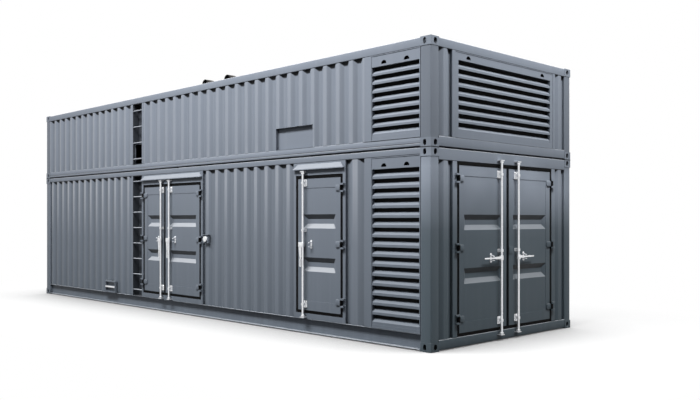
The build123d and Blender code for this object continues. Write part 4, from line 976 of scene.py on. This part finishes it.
# %% Rails
RAIL_EDGE = 0.009
SILL_PLATE = 0.012
SILL_EDGE = 0.005
LEAN_HEIGHT = 0.045
LEAN_BACK = 0.006
LEAN_EDGE = 0.004
PRESSED_LINE = 0.005
LINE_EDGE = 0.001
frame_low, frame_high = wall_box("service", "single_door_frame")
RAIL_FACE = frame_low[1]
RAIL_BACK = frame_high[1]


def box_rail(foot, head):
    """The outline of a box rail with bent edges."""
    return rounded(box_outline((RAIL_FACE, foot), (RAIL_BACK, head)), RAIL_EDGE)


def channel_rail(foot, head):
    """The outline of a channel that is open outwards."""
    web = RAIL_BACK - SILL_PLATE
    corners = [
        (RAIL_FACE, foot),
        (RAIL_BACK, foot),
        (RAIL_BACK, head),
        (RAIL_FACE, head),
        (RAIL_FACE, head - SILL_PLATE),
        (web, head - SILL_PLATE),
        (web, foot + SILL_PLATE),
        (RAIL_FACE, foot + SILL_PLATE),
    ]
    return rounded(corners, SILL_EDGE, 4)


def lined_rail(foot, head):
    """The outline of a box rail with a fine pressed line at a third of its height and a top that leans
    back."""
    line = foot + (head - foot) / 3
    corners = [
        (RAIL_FACE, foot),
        (RAIL_BACK, foot),
        (RAIL_BACK, head),
        (RAIL_FACE + LEAN_BACK, head),
        (RAIL_FACE, head - LEAN_HEIGHT),
        (RAIL_FACE, line + PRESSED_LINE),
        (RAIL_FACE + PRESSED_LINE, line),
        (RAIL_FACE, line - PRESSED_LINE),
    ]
    return rounded(corners, [RAIL_EDGE] * 3 + [LEAN_EDGE] * 2 + [LINE_EDGE] * 3, 4)


def rail_ring(node, side_outline, end_outline):
    """Two side rails and two end rails between the corner posts, in the place of a node."""
    shapes = []
    for wall in WALLS:
        on_side = wall in ("service", "back")
        outline, reach = (side_outline, -wall_start) if on_side else (end_outline, end_half_width)
        shapes.append(shape_on(wall, slab(outline, "along", -reach, reach)))
    piece = new_piece("bent_" + node, joined(shapes), "housing_paint")
    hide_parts(node)


for storey, side_rail in (("lower", channel_rail), ("upper", lined_rail)):
    foot = foot_and_head(storey + "_bottom_rails")[0]
    crown = foot_and_head(storey + "_top_rails")[1]
    side_foot, side_head = foot_and_head(storey + "_wall_far")
    end_foot, end_head = foot_and_head(storey + "_far_end_wall")
    rail_ring(storey + "_bottom_rails", side_rail(foot, side_foot), box_rail(foot, end_foot))
    rail_ring(storey + "_top_rails", box_rail(side_head, crown), box_rail(end_head, crown))

# %% [markdown]
# Behind the louvres lies the dark inside of the housing. A thin black board behind each louvre stands in
# for that shade, so no light comes through the slots.

# %% Shade boards behind the louvres
SHADE_BOARD_DEPTH = 0.02


def shade_board(node, wall):
    """A flat black board right behind a louvre, standing in for the shade inside."""
    low, high = wall_box(wall, node)
    return shape_on(wall, slab(box_outline(low[[0, 2]], high[[0, 2]]), "behind", high[1], high[1] + SHADE_BOARD_DEPTH))


new_piece("louvre_shade_boards", joined([shade_board(*louvre) for louvre in LOUVRES.items()]), "rubber_seal")

# %% [markdown]
# A door of this kind is locked by an upright bar. It turns in guides on the leaf, and a forged cam on each
# end swings behind a keeper on the frame. The bar is a profile swung round its own axis, and a cam is a
# rounded outline carried up. Where they stand is read from the joints and the solids of the frame, so that
# they turn with it.

# %% Lock bars
BAR_RADIUS = 0.016
BAR_CHAMFER = 0.004
CAM_SIZE = (0.062, 0.034)
CAM_ROUND = 0.0155
CAM_HEIGHT = 0.024
CAM_RIM = 0.004
PART_GAP = 0.1
HANDLE_BELOW_CATCH_TOP = 0.067
DOORS = {
    "single_door": "service",
    "wide_door": "service",
    "narrow_door": "service",
    "end_left_door": "door_end",
    "end_right_door": "door_end",
}
axes = {joint["name"]: joint["pos_m"] for joint in frame["joints"]}


def node_points(wall, node):
    """All corner points of a node, measured on a wall."""
    mesh = frame["nodes"][node].data
    flat = np.empty(len(mesh.vertices) * 3)
    mesh.vertices.foreach_get("co", flat)
    return off_wall(wall, flat.reshape(-1, 3))


def parts_up(points):
    """The low and high corners of separate solids, from the lowest up: their points are sorted by height
    and split wherever the next one is more than a gap away."""
    points = points[np.argsort(points[:, 2])]
    groups = np.split(points, np.nonzero(np.diff(points[:, 2]) > PART_GAP)[0] + 1)
    return [(group.min(axis=0), group.max(axis=0)) for group in groups]


def bar_place(door, wall):
    """Where a door's bar stands, as along and behind."""
    return off_wall(wall, axes[door + "_bar_turn"])[:2]


def guides_and_catch(door, wall):
    """The boxes of the three guides, which stand behind the bar, and of the catch, which stands off it."""
    points = node_points(wall, door + "_fittings")
    near = np.abs(points[:, 0] - bar_place(door, wall)[0]) < PART_GAP
    return parts_up(points[near]), parts_up(points[~near])[0]


def handle_height(door, wall):
    """How high a door's handle lies, measured from the top of its catch."""
    catch_high = guides_and_catch(door, wall)[1][1]
    return catch_high[2] - HANDLE_BELOW_CATCH_TOP


def bar_and_cams(door, wall):
    """A round bar with chamfered ends, and a rounded cam on each end."""
    along, behind = bar_place(door, wall)
    foot, head = foot_and_head(door + "_lock_bar")
    profile = [
        (foot, BAR_RADIUS - BAR_CHAMFER),
        (foot + BAR_CHAMFER, BAR_RADIUS),
        (head - BAR_CHAMFER, BAR_RADIUS),
        (head, BAR_RADIUS - BAR_CHAMFER),
    ]
    half = np.array(CAM_SIZE) / 2
    cam = rounded(box_outline((along, behind) - half, (along, behind) + half), CAM_ROUND)
    cams = [slab(cam, "up", up, up + CAM_HEIGHT, CAM_RIM) for up in (foot, head - CAM_HEIGHT)]
    return [turned(profile, "up", (along, behind, 0.0)), *cams]


print("Lock bars on", list(DOORS))

# %% [markdown]
# The handles are forged: a block that grips the bar, a lever that is drawn out of it, and a finer end for
# the fingers. A smith draws hot steel out along a line, and so does the function here: it carries a
# flattened oval along a path, and its width and thickness change on the way.

# %% Forging
ALONG = (1.0, 0.0, 0.0)
BEHIND = (0.0, 1.0, 0.0)
OVAL_POINTS = 16
GRIP_HALF_DEPTH = 0.020
GRIP_CORNER = 0.012
GRIP_RIM = 0.006


def drawn_out(path, flat, width, thickness):
    """A forged rod: at every point of a path lies an oval, square to the path. Its thickness runs along the
    flat axis and its width square to that. Both follow the square root of the cosine and sine, which fills
    the corners of the oval out."""
    path = np.asarray(path, dtype=float)
    across = np.cross(flat, np.gradient(path, axis=0))
    across = across / np.linalg.norm(across, axis=1, keepdims=True)
    oval = circle(1.0, OVAL_POINTS)
    oval = np.sign(oval) * np.sqrt(np.abs(oval)) / 2
    wide = np.broadcast_to(width, len(path))[:, None] * oval[:, 0]
    thick = np.broadcast_to(thickness, len(path))[:, None] * oval[:, 1]
    return loft(path[:, None] + wide[..., None] * across[:, None] + thick[..., None] * np.asarray(flat))


def grip_block(along, behind, left, right, foot, head):
    """The block that grips a bar: a rounded outline about the bar, carried up."""
    near = (along - left, behind - GRIP_HALF_DEPTH)
    far = (along + right, behind + GRIP_HALF_DEPTH)
    return slab(rounded(box_outline(near, far), GRIP_CORNER), "up", foot, head, GRIP_RIM)


print("Ovals of", OVAL_POINTS, "points")

# %% [markdown]
# On the service side the lever hangs down and ends in a loop for a padlock. On the door end it lies level
# in its catch and tapers to a round tip. The widths and thicknesses are given at a few places on the way,
# and the rest lies in between.

# %% Handles
HANG_FROM_BAR = 0.056
HANG_BLOCK = (0.086, 0.020, 0.038, 0.032)
LEVER_LEAN = 0.004
LEVER_HEIGHTS = (-0.010, -0.196)
LEVER_WIDTH = ((0.0, 0.7, 0.94, 1.0), (0.058, 0.044, 0.040, 0.028))
LEVER_DEPTH = ((0.0, 0.94, 1.0), (0.022, 0.017, 0.012))
NECK_LEAN = 0.002
NECK_HEIGHTS = (-0.190, -0.222)
NECK_SIZE = (0.026, 0.012)
LOOP_HEIGHTS = (-0.212, -0.330)
LOOP_REACH = 0.015
LOOP_ROD = 0.013
LOOP_STEP = 0.004
ARM_BLOCK = (0.022, 0.034, 0.034)
ARM_REACH = 0.395
ARM_WIDTH = ((0.0, 0.12, 0.160, 0.36, 0.388, ARM_REACH), (0.040, 0.034, 0.022, 0.020, 0.018, 0.010))
ARM_DEPTH = ((0.0, 0.12, 0.160, 0.388, ARM_REACH), (0.024, 0.020, 0.014, 0.013, 0.008))


def padlock_loop(along, behind, head, foot):
    """A rod that runs down, round a half circle and up again."""
    angle = np.linspace(math.pi, 2 * math.pi, 13)
    centre = foot + LOOP_ROD / 2 + LOOP_REACH
    bow = [along, behind, centre] + LOOP_REACH * np.stack([np.cos(angle), 0 * angle, np.sin(angle)], axis=-1)
    leg = np.linspace((along, behind, head), (along, behind, centre + LOOP_STEP), 6)
    aside = (LOOP_REACH, 0.0, 0.0)
    return drawn_out(np.concatenate([leg - aside, bow, leg[::-1] + aside]), BEHIND, LOOP_ROD, LOOP_ROD)


def hanging_handle(along, behind, up):
    """Block, tapering lever, neck and padlock loop, one under the other and a little left of the bar."""
    grip = along - HANG_FROM_BAR
    left, right, below, above = HANG_BLOCK
    (lever_head, lever_foot), (neck_head, neck_foot) = LEVER_HEIGHTS, NECK_HEIGHTS
    lever_start = (grip - LEVER_LEAN, behind, up + lever_head)
    lever_end = (grip + LEVER_LEAN, behind, up + lever_foot)
    lever = np.linspace(lever_start, lever_end, 24)
    neck = np.linspace((grip + NECK_LEAN, behind, up + neck_head), (grip, behind, up + neck_foot), 6)
    share = np.linspace(0.0, 1.0, len(lever))
    return [
        grip_block(along, behind, left, right, up - below, up + above),
        drawn_out(lever, BEHIND, np.interp(share, *LEVER_WIDTH), np.interp(share, *LEVER_DEPTH)),
        drawn_out(neck, BEHIND, *NECK_SIZE),
        padlock_loop(grip, behind, up + LOOP_HEIGHTS[0], up + LOOP_HEIGHTS[1]),
    ]


def level_handle(along, behind, up, side):
    """Block, thick arm and a finer end that tapers to a round tip, on one side of the bar."""
    short, long, half_height = ARM_BLOCK
    left, right = (short, long) if side > 0 else (long, short)
    path = np.linspace((along, behind, up), (along + side * ARM_REACH, behind, up), 48)
    place = np.linspace(0.0, ARM_REACH, len(path))
    return [
        grip_block(along, behind, left, right, up - half_height, up + half_height),
        drawn_out(path, BEHIND, np.interp(place, *ARM_WIDTH), np.interp(place, *ARM_DEPTH)),
    ]


for door, wall in DOORS.items():
    along, behind = bar_place(door, wall)
    up = handle_height(door, wall)
    if wall == "service":
        handle = hanging_handle(along, behind, up)
    else:
        handle = level_handle(along, behind, up, np.sign(along))
    shape = shape_on(wall, joined(bar_and_cams(door, wall) + handle))
    bar = new_piece(door + "_forged_bar", shape, "galvanised_steel", door + "_bar")
    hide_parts(door + "_lock_bar")

# %% [markdown]
# A guide is a strap bent over the bar and welded to a plate. The catch beside it is a small forging with a
# boss for each bolt and two fingers, one above the handle and one below. Both are built from the same few
# tools: the strap is an arch carried up, the plates are rounded outlines with soft rims, and the fingers
# are drawn out.

# %% Guides and catches
GUIDE_PLATE = 0.006
GUIDE_CORNER = 0.007
STRAP_HALF_HEIGHT = 0.017
STRAP_OUTER = 0.024
STRAP_INNER = 0.0175
CATCH_SLIM = (0.006, 0.0, 0.0)
CATCH_CORNER = 0.014
BOSS_PROFILE = ((-0.010, 0.012), (-0.008, 0.017), (0.0, 0.019))
BOSS_FROM_HANDLE = (0.049, -0.042)
FINGER_ROOT = 0.004
FINGER_PAST_BAR = 0.013
FINGER_BELOW = (0.031, 0.002)
FINGER_ABOVE = (0.036, 0.012)
FINGER_SIZE = ((0.0, 0.85, 1.0), (0.018, 0.012, 0.007))
FINGER_BREADTH = 1.8


def bent_strap(along, behind, up, seat):
    """A strap over a bar: half a circle out, a leg down to the plate, half a smaller circle back, and a
    leg."""
    angle = np.linspace(0.0, math.pi, 15)
    arch = np.stack([np.cos(angle), -np.sin(angle)], axis=-1)
    outline = np.concatenate([
        (along, behind) + STRAP_OUTER * arch,
        [(along - STRAP_OUTER, seat), (along - STRAP_INNER, seat)],
        (along, behind) + STRAP_INNER * arch[::-1],
        [(along + STRAP_INNER, seat), (along + STRAP_OUTER, seat)],
    ])
    return slab(outline, "up", up - STRAP_HALF_HEIGHT, up + STRAP_HALF_HEIGHT)


def rounded_plate(low, high, thickness, corner):
    """A plate with round corners and a soft front rim, lying on the face behind it."""
    outline = rounded(box_outline(low[[0, 2]], high[[0, 2]]), corner)
    return slab(outline, "behind", high[1] - thickness, high[1], thickness / 4)


def catch_forging(low, high, bar_behind):
    """A slim plate, two bosses, and two fingers that reach out past the handle. The lower one rises in a
    straight line, and the upper one bends down with the square of the way."""
    along = (low[0] + high[0]) / 2
    up = high[2] - HANDLE_BELOW_CATCH_TOP
    plate = rounded_plate(low + CATCH_SLIM, high - CATCH_SLIM, GUIDE_PLATE, CATCH_CORNER)
    boss = turned(BOSS_PROFILE, "behind", (along, high[1], up))
    bosses = copies(boss, [(0.0, 0.0, from_handle) for from_handle in BOSS_FROM_HANDLE])
    share = np.linspace(0.0, 1.0, 12)
    root, tip = high[1] - FINGER_ROOT, bar_behind - FINGER_PAST_BAR
    lower = up - FINGER_BELOW[0] + FINGER_BELOW[1] * share
    upper = up + FINGER_ABOVE[0] - FINGER_ABOVE[1] * share**2
    size = np.interp(share, *FINGER_SIZE)
    fingers = []
    for height in (lower, upper):
        path = np.stack([0 * share + along, root + share * (tip - root), height], axis=-1)
        fingers.append(drawn_out(path, ALONG, size, FINGER_BREADTH * size))
    return [plate, bosses, *fingers]


for door, wall in DOORS.items():
    along, behind = bar_place(door, wall)
    guides, catch = guides_and_catch(door, wall)
    shapes = catch_forging(*catch, behind)
    for low, high in guides:
        shapes.append(rounded_plate(low, high, GUIDE_PLATE, GUIDE_CORNER))
        shapes.append(bent_strap(along, behind, (low[2] + high[2]) / 2, high[1]))
    piece = new_piece(door + "_bent_guides", shape_on(wall, joined(shapes)), "galvanised_steel", door)
    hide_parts(door + "_fittings")

# %% [markdown]
# Nothing on a working door is glued: guides and catches are bolted on. One hexagon head is made once and
# copied to all its places, which are worked out from the plates it holds down. The small middle guide is
# only welded.

# %% Bolts
BOLT_RADIUS = 0.010
BOLT_HEIGHT = 0.007
BOLT_FROM_EDGE = 0.014
BOLT_ON_BOSS = 0.009
BOLT_SHOULDER = 0.7 * BOLT_HEIGHT
BOLT_CROWN = 0.8 * BOLT_RADIUS
bolt_profile = [(0.0, BOLT_RADIUS), (-BOLT_SHOULDER, BOLT_RADIUS), (-BOLT_HEIGHT, BOLT_CROWN)]
bolt = turned(bolt_profile, "behind", (0.0, 0.0, 0.0), 6)


def corner_places(low, high):
    """The four places a bolt's inset from the corners of a guide's plate, on its face."""
    along = (low[0] + BOLT_FROM_EDGE, high[0] - BOLT_FROM_EDGE)
    up = (low[2] + BOLT_FROM_EDGE, high[2] - BOLT_FROM_EDGE)
    return [(u, high[1] - GUIDE_PLATE, z) for u in along for z in up]


for door, wall in DOORS.items():
    (lowest, middle, highest), (low, high) = guides_and_catch(door, wall)
    up = handle_height(door, wall)
    on_bosses = [((low[0] + high[0]) / 2, high[1] - BOLT_ON_BOSS, up + z) for z in BOSS_FROM_HANDLE]
    bolts = copies(bolt, corner_places(*lowest) + corner_places(*highest) + on_bosses)
    new_piece(door + "_bolts", shape_on(wall, bolts), "galvanised_steel", door)

# %% [markdown]
# Every leaf wears a black rubber lip round its edge, and the lip also stands in for the shade of the gap
# beside it, so that together they draw the black line round a container door. A lip is a small square
# profile carried round the edge of the leaf, with mitred corners: four loops of four points, closed both
# ways.

# %% Door lips
LIP_ON_LEAF = 0.008
LIP_OVER_EDGE = 0.004
LIP_THICKNESS = 0.003
SAME_FACE = 0.001


def leaf_box(door, wall):
    """The box of a leaf without its hinges. Its edges are those of the points on its back, and its face is
    the front of its top edge."""
    points = node_points(wall, door + "_leaf")
    back = points[points[:, 1] > points[:, 1].max() - SAME_FACE]
    top = points[points[:, 2] > points[:, 2].max() - SAME_FACE]
    low, high = back.min(axis=0), back.max(axis=0)
    low[1] = top[:, 1].min()
    return low, high


def edge_band(low, high, inside, outside, thickness):
    """A square profile carried round a rectangle: from inside its edge to outside it, standing off its
    face."""
    loops = []
    for reach, depth in ((-inside, 0.0), (-inside, thickness), (outside, thickness), (outside, 0.0)):
        corners = box_outline(low[[0, 2]] - reach, high[[0, 2]] + reach)
        loops.append(np.insert(corners, 1, low[1] - depth, axis=1))
    points = np.stack(loops, axis=1).reshape(-1, 3)
    return facing_out(points, [grid_quads(4, 4, round_rows=True, round_columns=True)])


for door, wall in DOORS.items():
    lip = edge_band(*leaf_box(door, wall), LIP_ON_LEAF, LIP_OVER_EDGE, LIP_THICKNESS)
    new_piece(door + "_lip", shape_on(wall, lip), "rubber_seal", door)

# %% [markdown]
# The same band, painted, trims the louvres: each sits in a flat border whose edge is turned up a little.
# And between the stacked corner castings lies a thin black pad, which stands in for the shade in the joint
# and shows as a dark line round every corner.

# %% Louvre trims and black pads for the shade at the corner joints
TRIM_WIDTH = 0.010
TRIM_THICKNESS = 0.005
PAD_HALF_HEIGHT = 0.005
PAD_PROUD = 0.001


def louvre_trim(node, wall):
    """A narrow raised band just inside the edge of a louvre's border."""
    return shape_on(wall, edge_band(*wall_box(wall, node), TRIM_WIDTH, 0.0, TRIM_THICKNESS))


def corner_joint_shades():
    """Four flat black pads for the shade at the joint of the storeys, each a little larger than the foot of a
    casting.
    """
    points = node_points("service", "lower_corner_castings")
    near = points[(points[:, 0] > 0) & (points[:, 1] < WIDTH / 2)]
    low, high = near.min(axis=0)[:2] - PAD_PROUD, near.max(axis=0)[:2] + PAD_PROUD
    pad = slab(box_outline(low, high), "up", STOREY - PAD_HALF_HEIGHT, STOREY + PAD_HALF_HEIGHT)
    along, across = (0.0, WIDTH) - (low + high)
    return copies(pad, [(u, v, 0.0) for u in (0.0, along) for v in (0.0, across)])


new_piece("louvre_trims", joined([louvre_trim(*louvre) for louvre in LOUVRES.items()]), "housing_paint")
new_piece("corner_joint_shades", shape_on("service", corner_joint_shades()), "rubber_seal")

# %% [markdown]
# A hinge of this size is a forged plate, welded to the leaf and rolled round a thick pin. The plate is a
# rounded outline with soft rims. The roll is dark, so it gets a thin black sleeve, a profile swung round the
# pin.

# %% Hinge plates
PLATE_REACH = 0.104
PLATE_HALF_HEIGHT = 0.042
PLATE_PROUD = 0.015
PLATE_CORNER = 0.022
PLATE_RIM = 0.004
SLEEVE_RADIUS = 0.0148


def hinge_set(door, wall):
    """The plates and the sleeves of a leaf's hinges. Their heights are those of the rolls on the leaf,
    which are the only parts of it so near the pin."""
    pin, pin_behind, _ = off_wall(wall, axes[door + "_swing"])
    low, high = leaf_box(door, wall)
    edge, side = (high[0], -1) if pin > high[0] else (low[0], 1)
    points = node_points(wall, door + "_leaf")
    reaches = sorted([edge - side * LIP_OVER_EDGE, edge + side * PLATE_REACH])
    plates = []
    sleeves = []
    for roll_low, roll_high in parts_up(points[np.abs(points[:, 0] - pin) < SLEEVE_RADIUS]):
        up = (roll_low[2] + roll_high[2]) / 2
        corners = box_outline((reaches[0], up - PLATE_HALF_HEIGHT), (reaches[1], up + PLATE_HALF_HEIGHT))
        plates.append(slab(rounded(corners, PLATE_CORNER), "behind", low[1] - PLATE_PROUD, low[1], PLATE_RIM))
        sleeve = [(roll_low[2], SLEEVE_RADIUS), (roll_high[2], SLEEVE_RADIUS)]
        sleeves.append(turned(sleeve, "up", (pin, pin_behind, 0.0)))
    return joined(plates), joined(sleeves)


for door, wall in DOORS.items():
    plates, sleeves = hinge_set(door, wall)
    new_piece(door + "_hinge_plates", shape_on(wall, plates), "housing_paint", door)
    new_piece(door + "_hinge_sleeves", shape_on(wall, sleeves), "rubber_seal", door)

# %% [markdown]
# Two small plates are left. The right end leaf carries one beside its meeting edge, above the handle, to
# cover the gap there, painted with the leaf. And across the terminal box runs a bare bar that earth cables
# are bolted to, bright because the bolts are undone so often. It lies on the bar of the solid.

# %% Meeting plate and terminal bar
MEETING_SIZE = (0.090, 0.110)
MEETING_CORNER = 0.006
MEETING_FROM_EDGE = 0.010
MEETING_ABOVE_HANDLE = 0.045
TERMINAL_BORDER = 0.024
TERMINAL_HALF_HEIGHT = 0.016
TERMINAL_CORNER = 0.004
leaf_low = leaf_box("end_right_door", "door_end")[0]
meeting_foot = handle_height("end_right_door", "door_end") + MEETING_ABOVE_HANDLE
plate_low = np.array([leaf_low[0] + MEETING_FROM_EDGE, 0.0, meeting_foot])
plate_high = np.array([plate_low[0] + MEETING_SIZE[0], leaf_low[1], meeting_foot + MEETING_SIZE[1]])
meeting_plate = rounded_plate(plate_low, plate_high, GUIDE_PLATE, MEETING_CORNER)
new_piece("meeting_plate", shape_on("door_end", meeting_plate), "housing_paint", "end_right_door")
box_low, box_high = wall_box("service", "terminal_box")
box_middle = (box_low[2] + box_high[2]) / 2
bar_low = np.array([box_low[0] + TERMINAL_BORDER, 0.0, box_middle - TERMINAL_HALF_HEIGHT])
bar_high = np.array([box_high[0] - TERMINAL_BORDER, box_low[1] + SHEET, box_middle + TERMINAL_HALF_HEIGHT])
terminal_bar = rounded_plate(bar_low, bar_high, GUIDE_PLATE, TERMINAL_CORNER)
new_piece("terminal_bar", shape_on("service", terminal_bar), "galvanised_steel")
